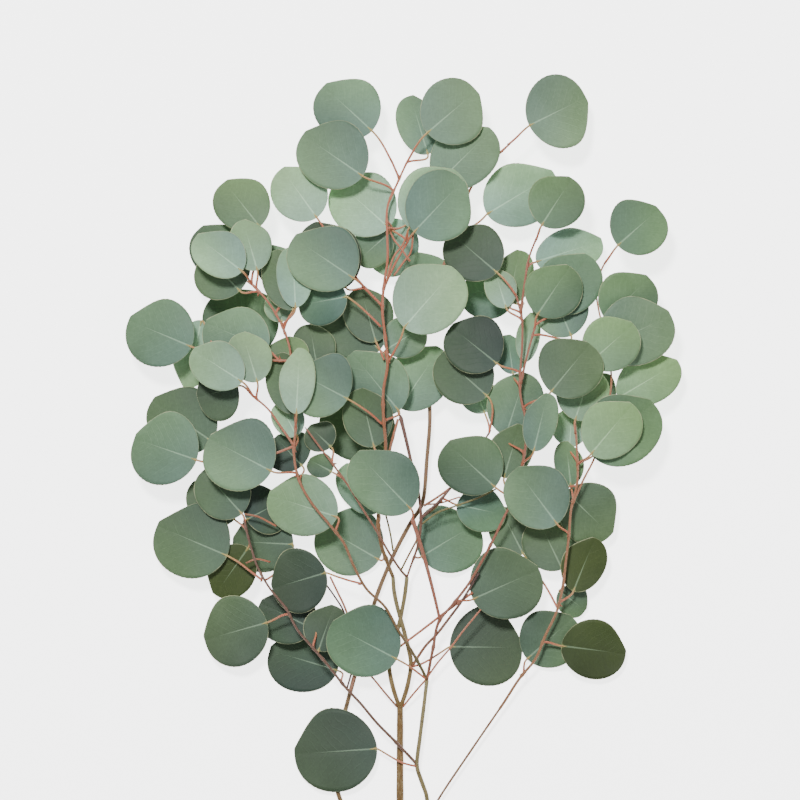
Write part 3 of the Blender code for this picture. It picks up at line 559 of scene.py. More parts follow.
# Leaves of each spray: where the blade starts, x and y, where it ends, x and y, its width, and its layer.
LEAVES = {
    "crown": (
        (372, 131, 322, 84, 66, 5), (363, 177, 302, 134, 70, 7), (427, 134, 478, 90, 68, 8),
        (428, 154, 410, 93, 46, 3), (389, 228, 336, 180, 66, 3), (414, 233, 464, 180, 70, 8),
        (409, 229, 458, 172, 68, 7), (317, 218, 281, 168, 56, 5), (408, 222, 376, 272, 56, 1),
        (390, 232, 356, 262, 40, 2), (404, 328, 456, 268, 72, 7), (354, 279, 293, 238, 70, 8),
        (346, 288, 312, 223, 62, 5), (347, 297, 297, 306, 50, 5), (380, 350, 326, 302, 68, 1),
        (376, 342, 360, 287, 50, 2), (399, 411, 351, 352, 62, 3), (374, 447, 360, 388, 50, 4),
        (388, 452, 326, 402, 72, 0), (348, 399, 297, 372, 70, 6), (386, 350, 424, 326, 42, 2),
        (378, 513, 343, 464, 44, 3), (379, 561, 318, 526, 70, 2),
    ),
    "upper_left": (
        (260, 227, 223, 180, 56, 5), (243, 272, 196, 236, 48, 8), (258, 271, 243, 220, 42, 7),
        (243, 277, 198, 226, 60, 2), (240, 291, 204, 254, 62, 4), (192, 347, 128, 320, 70, 6),
        (268, 350, 204, 322, 60, 5), (243, 382, 193, 350, 48, 8), (258, 382, 242, 331, 44, 7),
        (238, 386, 196, 398, 62, 3), (201, 320, 184, 388, 40, 1), (262, 352, 216, 290, 76, 0),
        (212, 442, 150, 400, 68, 2), (197, 460, 132, 438, 76, 6), (272, 471, 208, 438, 78, 7),
        (294, 310, 276, 250, 46, 5), (296, 308, 293, 246, 36, 6), (296, 414, 281, 352, 46, 5),
        (297, 414, 300, 348, 36, 7), (289, 290, 267, 244, 44, 3), (282, 322, 275, 292, 30, 2),
        (284, 380, 292, 335, 44, 3), (297, 436, 278, 402, 32, 3), (337, 517, 268, 495, 62, 4),
        (302, 466, 274, 436, 48, 1), (397, 660, 330, 625, 73, 4), (318, 372, 309, 322, 44, 1),
    ),
    "inner_left": (
        (331, 447, 309, 426, 34, 3), (332, 472, 308, 459, 26, 3),
    ),
    "lower_left": (
        (377, 751, 293, 757, 84, 4), (267, 623, 202, 642, 72, 4), (227, 556, 155, 526, 80, 3),
        (248, 548, 214, 596, 50, 2), (246, 520, 284, 500, 54, 2), (293, 545, 231, 542, 62, 1),
        (326, 573, 270, 590, 66, 4), (313, 630, 258, 604, 60, 3), (318, 652, 334, 606, 44, 3),
        (337, 673, 267, 652, 68, 0), (242, 514, 202, 470, 56, 4), (234, 520, 190, 484, 50, 1),
    ),
    "middle": (
        (400, 408, 441, 347, 60, 1), (421, 558, 478, 524, 72, 3), (457, 505, 508, 516, 46, 4),
        (487, 396, 440, 354, 60, 4), (485, 413, 472, 378, 38, 1),
    ),
    "inner_right": (
        (411, 509, 356, 452, 66, 7), (473, 600, 540, 570, 74, 5), (495, 487, 446, 442, 64, 6),
        (497, 364, 450, 326, 60, 6), (497, 273, 450, 232, 60, 5), (514, 302, 462, 284, 54, 0),
        (506, 308, 494, 268, 32, 4), (509, 304, 520, 248, 40, 2), (537, 315, 570, 266, 58, 6),
        (553, 312, 588, 255, 62, 5), (536, 262, 604, 240, 46, 3), (541, 226, 572, 178, 56, 7),
        (550, 392, 590, 343, 66, 8), (571, 336, 548, 282, 56, 4), (525, 362, 532, 312, 24, 3),
        (513, 374, 508, 333, 32, 2), (506, 436, 526, 372, 56, 2), (504, 478, 520, 424, 44, 3),
        (533, 451, 547, 392, 34, 9), (524, 555, 500, 508, 46, 1), (450, 649, 525, 650, 82, 0),
    ),
    "outer_right": (
        (528, 661, 575, 618, 62, 3), (562, 647, 628, 656, 60, 5), (563, 570, 538, 518, 56, 3),
        (566, 572, 574, 518, 30, 1), (574, 592, 596, 538, 44, 4), (560, 592, 588, 613, 34, 1),
        (557, 524, 515, 468, 64, 7), (566, 492, 612, 536, 62, 3), (571, 486, 566, 440, 30, 3),
        (570, 447, 573, 406, 38, 2), (575, 420, 592, 368, 54, 5), (602, 420, 606, 372, 26, 2),
        (590, 454, 632, 404, 58, 7), (592, 456, 654, 402, 74, 6), (588, 364, 633, 324, 56, 7),
        (600, 350, 672, 314, 70, 6), (606, 320, 650, 277, 60, 5), (618, 398, 680, 362, 50, 5),
        (617, 246, 660, 208, 61, 6),
    ),
    "upper_right": (
        (529, 126, 588, 96, 76, 6), (487, 214, 556, 172, 66, 5), (437, 184, 492, 130, 62, 6),
        (444, 300, 414, 252, 44, 2),
    ),
}


def world(x, y, height):
    """A place of the drawing, with its height in millimetres, in metres."""
    return np.array([(x - MIDDLE_STEP) * STEP, (DRAWN_STEPS - y) * STEP, height * MM])


def unit(vectors):
    return vectors / np.linalg.norm(vectors, axis=-1, keepdims=True)


def placed(route):
    """The places of a drawn route, in metres."""
    return np.array([world(*place) for place in route])


def rounded(corners):
    """Closely spaced points of a smooth curve through the corners."""
    ends = np.vstack([2 * corners[0] - corners[1], corners, 2 * corners[-1] - corners[-2]])
    curve = []
    for a, b, c, d in zip(ends, ends[1:], ends[2:], ends[3:]):
        for t in np.linspace(0, 1, CURVE_CUTS, endpoint=False):
            curve.append(b + 0.5 * t * (c - a + t * (2 * a - 5 * b + 4 * c - d + t * (3 * (b - c) + d - a))))
    curve.append(corners[-1])
    return np.array(curve)


def spaced(curve, spacing, start=0.0):
    """Evenly spaced points of the curve, from a length along it to its end."""
    lengths = np.concatenate([[0.0], np.cumsum(np.linalg.norm(np.diff(curve, axis=0), axis=1))])
    count = max(2, round((lengths[-1] - start) / spacing) + 1)
    wanted = np.linspace(start, lengths[-1], count)
    return np.column_stack([np.interp(wanted, lengths, curve[:, axis]) for axis in range(3)])


def drawn_curve(stem):
    """A stem's or twig's route as it is drawn, followed closely."""
    return spaced(rounded(placed(stem.route)), FINE_SPACING)


def directions_at(corners):
    """The direction of a bent tube at each of its corners."""
    steps = unit(np.diff(corners, axis=0))
    return unit(np.vstack([steps[:1], steps[:-1] + steps[1:], steps[-1:]]))


def half_outline(t):
    """Half the blade's width over its largest, at a part t of its length."""
    t = np.clip(t, 0.0, 1.0)
    widest = BASE_ROUNDNESS / (BASE_ROUNDNESS + END_ROUNDNESS)
    largest = widest**BASE_ROUNDNESS * (1 - widest) ** END_ROUNDNESS
    return t**BASE_ROUNDNESS * (1 - t) ** END_ROUNDNESS / largest


def leaf_shape(leaf, number):
    """The blade's own cup, ripple, arch and phase. A leaf that lies on the table has none."""
    if leaf.layer == 0:
        return 0.0, 0.0, 0.0, 0.0
    phase = GOLDEN_TURN * number
    cup = BLADE_CUP * math.sin(phase)
    ripple = BLADE_RIPPLE * (1 + RIPPLE_SPREAD * math.cos(RIPPLE_CHANCE * phase))
    arch = BLADE_ARCH * math.cos(phase)
    return cup, ripple, arch, phase


def blade_points(blade, t, v):
    """Points of the blade's middle surface: t runs from the stalk to the outer end, v from edge to edge."""
    t, v = np.broadcast_arrays(np.asarray(t, float), np.asarray(v, float))
    cup, ripple, arch, phase = blade.shape
    forward = t * blade.length
    aside = v * half_outline(t) * blade.half_width
    edge = (aside / blade.half_width) ** 2
    height = blade.rise * forward + blade.roll * aside
    height = height + cup * edge + 4 * arch * t * (1 - t)
    height = height + ripple * edge * np.sin(RIPPLE_TURN * t + phase + RIPPLE_SHIFT * np.sign(v))
    points = blade.base + forward[..., None] * blade.along + aside[..., None] * blade.across
    points[..., 2] += height
    return points


class Pile:
    """The height that the wood, twigs and leaves reach over each square of the table."""

    def __init__(self):
        self.top = np.zeros(PILE_CELLS)

    def squares(self, points):
        column = ((points[..., 0] - PILE_CORNER[0]) / CELL).astype(int)
        row = ((points[..., 1] - PILE_CORNER[1]) / CELL).astype(int)
        return column, row

    def under(self, points, radius=0.0):
        """The pile's height under each point, felt over a small radius round it."""
        shifts = [(dx, dy, 0.0) for dx in (-radius, 0.0, radius) for dy in (-radius, 0.0, radius)]
        return np.max([self.top[self.squares(points + shift)] for shift in shifts], axis=0)

    def add(self, points):
        np.maximum.at(self.top, self.squares(points), points[..., 2])

    def add_tube(self, points, radius):
        for dx in (-radius, 0.0, radius):
            for dy in (-radius, 0.0, radius):
                self.add(points + (dx, dy, radius))

    def add_blade(self, blade):
        self.add(blade_points(blade, LAID_T, LAID_V) + (0.0, 0.0, BLADE_THICKNESS / 2))


def nearest(curves, place):
    """The curve, and the number of its point past the spray's seat, that lie nearest a place from above."""
    found = []
    for order, curve in enumerate(curves):
        distances = np.linalg.norm(curve[:, :2] - place[:2], axis=1)
        if order == 0:
            distances[:SEAT_POINTS] = math.inf
        k = int(np.argmin(distances))
        found.append((distances[k], order, k))
    _, order, k = min(found)
    return curves[order], k


def settle(leaf, number, pile, curves):
    """Lays one leaf on the pile, tilted to lie low, and no further from its twig than its layer."""
    base = world(leaf.base_x, leaf.base_y, 0.0)
    tip = world(leaf.tip_x, leaf.tip_y, 0.0)
    length = float(np.linalg.norm(tip - base))
    along = (tip - base) / length
    across = np.array([-along[1], along[0], 0.0])
    flat = Blade(base, along, across, length, leaf.width * STEP / 2, 0.0, 0.0, leaf_shape(leaf, number))
    if leaf.layer == 0:
        return flat._replace(base=base + (0.0, 0.0, BLADE_THICKNESS / 2))
    twig, k = nearest(curves, base - STALK_REACH * along)
    wanted = twig[k][2] + (leaf.layer - TWIG_LAYER) * LAYER_RISE
    felt = blade_points(flat, FELT_T, FELT_V)
    clear = pile.under(felt) + LEAF_GAP + BLADE_THICKNESS - felt[..., 2]
    forward = (felt - base) @ along
    aside = (felt - base) @ across
    found = []
    for rise in RISES:
        for roll in ROLLS:
            height = max(wanted, float(np.max(clear - rise * forward - roll * aside)))
            cost = height + rise * length / 2 + LIFT_COST * (height - wanted)
            cost += SLOPE_COST * ((rise - REST_RISE) ** 2 + roll**2)
            found.append((cost, height, rise, roll))
    _, height, rise, roll = min(found)
    return flat._replace(base=base + (0.0, 0.0, height), rise=rise, roll=roll)


def lifted(curve, radius, pile):
    """The curve raised where the pile under it is higher, with its root left where it is."""
    points = spaced(curve, FINE_SPACING)
    height = np.maximum(points[:, 2], pile.under(points, radius) + radius + TWIG_GAP)
    window = 2 * LIFT_REACH + 1
    padded = np.pad(height, 2 * LIFT_REACH, mode="edge")
    highest = np.array([padded[k : k + window].max() for k in range(len(padded) - window + 1)])
    smooth = np.array([highest[k : k + window].mean() for k in range(len(height))])
    ramp = np.clip(np.arange(len(height)) / ROOT_POINTS, 0, 1)
    ramp = ramp * ramp * (3 - 2 * ramp)
    points[:, 2] = points[0, 2] + (smooth - points[0, 2]) * ramp
    return points


def bent_twigs(twigs, drawn, pile):
    """Each twig's corners, lifted off the pile. Side twigs start on the axis of the one that bears them."""
    curves = []
    routes = []
    for order, (twig, curve) in enumerate(zip(twigs, drawn)):
        start = 0.0
        if order == 0:
            start = STUB_LENGTH
        else:
            bearer, k = nearest(curves, curve[0])
            curve = curve + (bearer[k] - curve[0]) * np.linspace(1, 0, len(curve))[:, None]
        curve = lifted(curve, twig.root_radius * MM, pile)
        corners = spaced(curve, TWIG_SPACING, start)
        if order == 0:
            corners = np.vstack([curve[:1], corners])
        routes.append(corners)
        curves.append(spaced(corners, FINE_SPACING))
    for twig, curve in zip(twigs, curves):
        pile.add_tube(curve, twig.root_radius * MM)
    return routes, curves


def stalk(blade, curves):
    """The leaf's stalk: from a twig, round to the blade's base, and a little way along its midrib."""
    curve, k = nearest(curves, blade.base - STALK_REACH * blade.along)
    k = min(k, len(curve) - 2)
    hook = curve[k]
    end = blade.base + (0.0, 0.0, STALK_RAISE)
    reach = float(np.linalg.norm(end - hook))
    onward = unit(curve[k + 1] - curve[k - 1])
    outward = unit(STALK_SWING * onward + unit(end - hook))
    inward = unit(blade_points(blade, SUNK_PARTS[-1], 0.0) - blade.base)
    start = hook + STALK_START * reach * outward
    finish = end - STALK_END * reach * inward
    t = np.linspace(0, 1, CURVE_CUTS)[:, None]
    way = (1 - t) ** 3 * hook + 3 * (1 - t) ** 2 * t * start + 3 * (1 - t) * t**2 * finish + t**3 * end
    sunk = blade_points(blade, np.array(SUNK_PARTS), 0.0) + (0.0, 0.0, STALK_RAISE)
    return np.vstack([way, sunk])


def arrange():
    """Where everything lies: stems' curves, twigs' corners, blades and stalks, the last three by spray."""
    pile = Pile()
    stems = {name: drawn_curve(stem) for name, stem in STEMS.items()}
    for name, stem in STEMS.items():
        pile.add_tube(stems[name], stem.root_radius * MM)
    drawn = {spray: [drawn_curve(twig) for twig in twigs] for spray, twigs in TWIGS.items()}
    leaves = [(Leaf(*row), spray, number) for spray in LEAVES for number, row in enumerate(LEAVES[spray])]
    leaves.sort(key=lambda entry: entry[0].layer)
    blades = {spray: {} for spray in LEAVES}
    for leaf, spray, number in leaves:
        if leaf.layer < TWIG_LAYER:
            blades[spray][number] = settle(leaf, number, pile, drawn[spray])
            pile.add_blade(blades[spray][number])
    routes = {}
    curves = {}
    for spray, twigs in TWIGS.items():
        routes[spray], curves[spray] = bent_twigs(twigs, drawn[spray], pile)
    for leaf, spray, number in leaves:
        if leaf.layer > TWIG_LAYER:
            blades[spray][number] = settle(leaf, number, pile, curves[spray])
            pile.add_blade(blades[spray][number])
    stalks = {}
    for spray, found in blades.items():
        stalks[spray] = {number: stalk(blade, curves[spray]) for number, blade in found.items()}
    return stems, routes, blades, stalks


def share(number, salt):
    """A leaf's own fixed share from 0 to 1."""
    return (number * GOLDEN_SHARE + salt * SALT_SHARE) % 1.0


def shown_outline(t, side, number, straight):
    """Half the shown blade's width over its largest, straight to the tip on one side, full on the other."""
    turn = math.tau * share(number, TURN)
    widest = SHOWN_BASE_ROUNDNESS / (SHOWN_BASE_ROUNDNESS + SHOWN_END_ROUNDNESS)
    largest = widest**SHOWN_BASE_ROUNDNESS * (1 - widest) ** SHOWN_END_ROUNDNESS
    full = t**SHOWN_BASE_ROUNDNESS * (1 - t) ** SHOWN_END_ROUNDNESS / largest
    line = (STRAIGHT_SLOPE + SLOPE_SPREAD * share(number, SLOPE)) * (1 - t) + STRAIGHT_END
    cut = (full**-SHOULDER + line**-SHOULDER) ** (-1 / SHOULDER)
    half = np.where(side == straight, STRAIGHT_WIDTH * cut, FULL_WIDTH * full)
    half = half * (1 + OUTLINE_WAVE * np.sin(OUTLINE_WAVES * t + turn + side))
    beat = np.sin(SCALLOP_BEAT * SCALLOPS * t + turn)
    return half * (1 + SCALLOP * np.sin(SCALLOPS * t + turn * side) * beat)


def fine_blade(blade, number, straight):
    """A shown blade: upper and lower sheet and a thin rim, as vertices, faces and marks for its material."""
    columns = np.array([-v for v in BLADE_COLUMNS[:0:-1]] + list(BLADE_COLUMNS))
    t = (1 - np.cos(np.linspace(0, math.pi, BLADE_STEPS))) / 2
    turn = math.tau * share(number, TURN)
    side = np.sign(columns)[None, :]
    t_grid, v_grid = np.broadcast_arrays(t[1:-1, None], columns[None, :])
    wide = shown_outline(t_grid, side, number, straight) / half_outline(t_grid)
    sheet = blade_points(blade, t_grid, v_grid * wide)
    aside = v_grid * wide * half_outline(t_grid) * blade.half_width
    notch = NOTCH_DEPTH * share(number, NOTCH)
    notched = notch * t_grid**4 * np.exp(-((aside / blade.half_width / NOTCH_WIDTH) ** 2))
    sheet = sheet - notched[..., None] * blade.along
    relief = EDGE_WAVE * np.abs(v_grid) ** 3 * np.sin(EDGE_WAVES * t_grid + turn + 2 * side)
    relief = relief - RIB_GROOVE * np.exp(-((aside / RIB_GROOVE_WIDTH) ** 2))
    sheet[..., 2] += relief * (blade.rise != 0.0)
    rows, width = t_grid.shape
    ends = blade_points(blade, t[[0, -1]], 0.0)
    ends[1] -= notch * blade.along
    middle_sheet = np.vstack([sheet.reshape(-1, 3), ends])
    thickness = RIB_THICKNESS + (RIM_THICKNESS - RIB_THICKNESS) * np.abs(v_grid) ** 2
    thickness = np.append(thickness.ravel(), [RIM_THICKNESS, RIM_THICKNESS])
    half = np.zeros_like(middle_sheet)
    half[:, 2] = thickness / 2
    verts = np.vstack([middle_sheet + half, middle_sheet - half])
    count = len(middle_sheet)
    first = count - 2
    last = count - 1
    upper = []
    for row in range(rows - 1):
        for column in range(width - 1):
            a = row * width + column
            upper.append((a, a + width, a + width + 1, a + 1))
    for column in range(width - 1):
        upper.append((first, column, column + 1))
        b = (rows - 1) * width + column
        upper.append((last, b + 1, b))
    right = [row * width for row in range(rows)]
    left = [row * width + width - 1 for row in range(rows)]
    border = [first] + right + [last] + left[::-1]
    lower = [tuple(index + count for index in face[::-1]) for face in upper]
    rim = [(a, a + count, b + count, b) for a, b in zip(border, border[1:] + border[:1])]
    outline = middle_sheet[border]
    nearest_edge = np.min(np.linalg.norm(middle_sheet[:, None] - outline[None], axis=2), axis=1)
    marks = {
        "along": np.tile(np.append(t_grid.ravel(), [0.0, 1.0]), 2),
        "aside": np.tile(np.append(aside.ravel(), [0.0, 0.0]) / MM, 2),
        "edge": np.tile(nearest_edge / MM, 2),
        "size": np.full(2 * count, blade.length / MM),
        "chance": np.full(2 * count, share(number, CHANCE)),
    }
    return verts, upper + lower + rim, marks


def circles(directions, sides):
    """Points of a circle round each direction, with a radius of one."""
    side = unit(np.cross(directions, (0.0, 0.0, 1.0)))
    rise = np.cross(side, directions)
    turns = np.linspace(0, math.tau, sides, endpoint=False)
    return np.cos(turns)[None, :, None] * side[:, None] + np.sin(turns)[None, :, None] * rise[:, None]


def ring_faces(rings, sides):
    """The faces between rings of vertices that follow one another."""
    faces = []
    for row in range(rings - 1):
        for k in range(sides):
            a = row * sides + k
            b = row * sides + (k + 1) % sides
            faces.append((a, a + sides, b + sides, b))
    return faces


def tube_marks(points, sides):
    """How far along, in millimetres, and how far round a tube each of its vertices is."""
    lengths = np.concatenate([[0.0], np.cumsum(np.linalg.norm(np.diff(points, axis=0), axis=1))])
    return {
        "along": np.repeat(lengths / MM, sides),
        "around": np.tile(np.linspace(0, 1, sides, endpoint=False), len(points)),
    }


class Gathered:
    """The parts of one shown piece, with the marks and tones that its material reads at each vertex."""

    def __init__(self):
        self.verts = []
        self.faces = []
        self.marks = {}
        self.tones = []
        self.count = 0

    def add(self, verts, faces, tones, marks):
        self.verts.append(np.asarray(verts))
        self.faces += [tuple(index + self.count for index in face) for face in faces]
        self.tones.append(np.broadcast_to(tones, (len(verts), 3)))
        for name, values in marks.items():
            self.marks.setdefault(name, []).append(np.broadcast_to(values, len(verts)))
        self.count += len(verts)

    def add_tube(self, points, radii, sides, tones):
        """A closed tube along the points, with a radius and a tone for each."""
        rings = points[:, None] + radii[:, None, None] * circles(directions_at(points), sides)
        last = (len(points) - 1) * sides
        faces = [tuple(range(sides))] + ring_faces(len(points), sides)
        faces.append(tuple(range(last, last + sides))[::-1])
        self.add(rings.reshape(-1, 3), faces, np.repeat(tones, sides, axis=0), tube_marks(points, sides))

    def build(self, name, material, nodes):
        mesh = bpy.data.meshes.new(name)
        verts = np.vstack(self.verts) - middle
        verts[:, 2] = np.maximum(verts[:, 2], 0.0)
        mesh.from_pydata(verts, [], self.faces)
        for mark, values in self.marks.items():
            mesh.attributes.new(mark, "FLOAT", "POINT").data.foreach_set("value", np.concatenate(values))
        tones = np.vstack(self.tones)
        colours = np.column_stack([tones, np.ones(len(tones))])
        mesh.attributes.new("tone", "FLOAT_COLOR", "POINT").data.foreach_set("color", colours.ravel())
        mesh.shade_smooth()
        mesh.materials.append(material)
        made = bpy.data.objects.new(name, mesh)
        bpy.context.scene.collection.objects.link(made)
        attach(made, "root")
        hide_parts(*nodes)


def between(low, high, part):
    """Numbers between two, one for each part from 0 to 1."""
    return low + (high - low) * part


def mixed(low, high, part):
    """Colours between two, one for each part from 0 to 1."""
    part = np.clip(part, 0, 1)[:, None]
    return np.array(low) * (1 - part) + np.array(high) * part


def ringed(curve, spacing, start=0.0):
    """Evenly spaced points of a curve, and the part of the way along it that each is at."""
    points = spaced(curve, spacing, start)
    return points, np.linspace(0, 1, len(points))


def leaf_tone(word, number):
    """A leaf's colour: its tone's, a little lighter or darker and greener or bluer."""
    light = 1 + TONE_SPREAD * (2 * share(number, LIGHT) - 1)
    green = TONE_HUE * (2 * share(number, HUE) - 1)
    return np.array(TONE_COLOURS[word]) * light * (1 - green, 1.0, 1 + green)


def swollen(points, radii, hooks):
    """Radii with a swelling round each of the places where something grows."""
    swell = np.ones(len(points))
    for hook in hooks:
        near = np.linalg.norm(points - hook, axis=1) / NODE_LENGTH
        swell = np.maximum(swell, 1 + NODE_SWELL * np.exp(-(near**2)))
    return radii * swell


def add_twigs(gathered, spray, routes, ways):
    """A spray's twigs, leaf stalks and buds."""
    hooks = [way[0] for way in ways.values()] + [corners[0] for corners in routes[1:]]
    low, high = TWIG_COLOURS[spray]
    for order, (twig, corners) in enumerate(zip(TWIGS[spray], routes)):
        if (spray, order) in TWIG_ROUTES:
            corners = placed(TWIG_ROUTES[spray, order])
        points, part = ringed(rounded(corners), TWIG_RINGS)
        radii = between(*TWIG_RADII.get((spray, order), (twig.root_radius, twig.tip_radius)), part) * MM
        radii = swollen(points, radii * between(TWIG_ROOT_SHARE, TWIG_TIP_SHARE, part), hooks)
        radii[-2:] *= TWIG_END_SHARES
        gathered.add_tube(points, radii, TWIG_SIDES, mixed(low, high, part * TWIG_BLUSH + (order > 0)))
    for root_radius, tip_radius, low, high, route in THIN_TWIGS.get(spray, ()):
        points, part = ringed(rounded(placed(route)), TWIG_RINGS)
        radii = between(root_radius, tip_radius, part) * MM
        gathered.add_tube(points, radii, TWIG_SIDES, mixed(low, high, part))
    for number, way in sorted(ways.items()):
        if (spray, number) in STALK_ROUTES:
            way = rounded(np.vstack([placed(STALK_ROUTES[spray, number]), way[-3:]]))
        points, part = ringed(way, STALK_RINGS)
        radii = between(STALK_ROOT_RADIUS, STALK_END_RADIUS, part)
        radii[-2:] *= STALK_END_SHARES
        tones = mixed(STALK_ROOT_COLOUR, STALK_END_COLOUR, part**STALK_TURN)
        gathered.add_tube(points, radii, STALK_SIDES, tones)
        if number % BUD_EVERY == 0:
            add_bud(gathered, way, routes)


def add_bud(gathered, way, routes):
    """A small pointed bud in the corner between a stalk and its twig."""
    ends = np.vstack([corners[1:] for corners in routes])
    onward = unit(ends[np.argmin(np.linalg.norm(ends - way[0], axis=1))] - way[0] + NO_LENGTH)
    direction = unit(onward + unit(way[3] - way[0]) + (0.0, 0.0, BUD_RISE))
    points = way[0] + np.array(BUD_REACH)[:, None] * BUD_LENGTH * direction
    radii = BUD_RADIUS * np.array(BUD_SWELL)
    gathered.add_tube(points, radii, STALK_SIDES, [BUD_COLOUR] * len(points))


def add_stem(gathered, name, curve, stem):
    """A woody stem with slightly uneven sides."""
    points, part = ringed(curve, WOOD_RINGS, WOOD_INSET)
    radii = between(stem.root_radius, stem.tip_radius, part) * MM * SLIM_STEM_SHARES.get(name, WOOD_SHARE)
    radii = radii * (1 + WOOD_UNEVEN * np.sin(part * len(points) * WOOD_TURN + len(name)))
    gathered.add_tube(points, radii, WOOD_SIDES, mixed(*STEM_COLOURS[name], part))


def add_cut_end(gathered, curve, radius):
    """The trunk's cut face: pale wood in rings round a darker pith."""
    onward = unit(curve[1] - curve[0])
    rings = np.array(CUT_RINGS)[:, None, None] * radius * circles(onward[None], WOOD_SIDES)
    verts = (curve[0] + (WOOD_INSET - CUT_STAND) * onward + rings).reshape(-1, 3)
    faces = [face[::-1] for face in ring_faces(len(CUT_RINGS), WOOD_SIDES)]
    faces.append(tuple(range(len(verts) - WOOD_SIDES, len(verts))))
    tones = np.repeat(CUT_COLOURS, WOOD_SIDES, axis=0)
    gathered.add(verts, faces, tones, {"along": 0.0, "around": 0.0})


class Nodes:
    """A material's node tree, with short ways to add to it."""

    def __init__(self, name):
        self.material = bpy.data.materials.new(name)
        self.material.use_nodes = True
        self.tree = self.material.node_tree
        self.shader = self.tree.nodes["Principled BSDF"]
        self.put(self.shader.inputs["Metallic"], 0.0)
        self.place = self.add("ShaderNodeTexCoord").outputs["Object"]

    def put(self, socket, value):
        """Gives an input a number, a colour or another node's output."""
        if isinstance(value, bpy.types.NodeSocket):
            self.tree.links.new(value, socket)
        else:
            socket.default_value = value

    def fill(self, node, values):
        """Gives a node's inputs their values by name."""
        for name, value in values.items():
            self.put(node.inputs[name], value)

    def add(self, kind, *values, **settings):
        """A node with its settings, and values for its inputs in order."""
        node = self.tree.nodes.new(kind)
        for name, setting in settings.items():
            setattr(node, name, setting)
        for socket, value in zip([s for s in node.inputs if s.enabled], values):
            self.put(socket, value)
        return node

    def maths(self, operation, *values):
        return self.add("ShaderNodeMath", *values, operation=operation).outputs[0]

    def plus(self, a, b):
        return self.maths("ADD", a, b)

    def minus(self, a, b):
        return self.maths("SUBTRACT", a, b)

    def times(self, a, b):
        return self.maths("MULTIPLY", a, b)

    def over(self, a, b):
        return self.maths("DIVIDE", a, b)

    def mark(self, name):
        return self.add("ShaderNodeAttribute", attribute_name=name).outputs["Fac"]

    def tone(self):
        return self.add("ShaderNodeAttribute", attribute_name="tone").outputs["Color"]

    def smooth(self, value, low, high, to_low=0.0, to_high=1.0):
        """The value, turned smoothly from one range to another."""
        values = (value, low, high, to_low, to_high)
        node = self.add("ShaderNodeMapRange", *values, interpolation_type="SMOOTHSTEP", clamp=True)
        return node.outputs[0]

    def mix(self, part, a, b, blend="MIX"):
        node = self.add("ShaderNodeMix", data_type="RGBA", blend_type=blend)
        for order, value in zip(MIX_INPUTS, (part, a, b)):
            self.put(node.inputs[order], value)
        return node.outputs[MIX_OUTPUT]

    def tinted(self, colour, shift):
        """The colour times another."""
        return self.mix(1.0, colour, rgba(shift), "MULTIPLY")

    def lit(self, colour, light):
        """The colour, lighter or darker."""
        return self.mix(1.0, colour, self.vector(light, light, light), "MULTIPLY")

    def noise(self, place, scale, detail, roughness=0.55):
        node = self.add("ShaderNodeTexNoise")
        self.fill(node, {"Vector": place, "Scale": scale, "Detail": detail, "Roughness": roughness})
        return node.outputs["Fac"]

    def vector(self, x, y, z):
        return self.add("ShaderNodeCombineXYZ", x, y, z).outputs[0]

    def streaks(self, along, around, noise):
        """Noise drawn out along a tube."""
        along = self.times(self.mark("along"), along)
        around = self.times(self.mark("around"), around)
        return self.noise(self.vector(along, around, 0.0), *noise)

    def finish(self, colour, roughness, height, distance, shine):
        """Joins up the shader: colour, roughness, bump and shine."""
        bump = self.add("ShaderNodeBump")
        self.fill(bump, {"Strength": 1.0, "Distance": distance, "Height": height})
        self.fill(self.shader, {"Base Color": colour, "Roughness": roughness, "Specular IOR Level": shine})
        self.put(self.shader.inputs["Normal"], bump.outputs["Normal"])
        return self.material


def rgba(colour):
    return (*colour, 1.0)


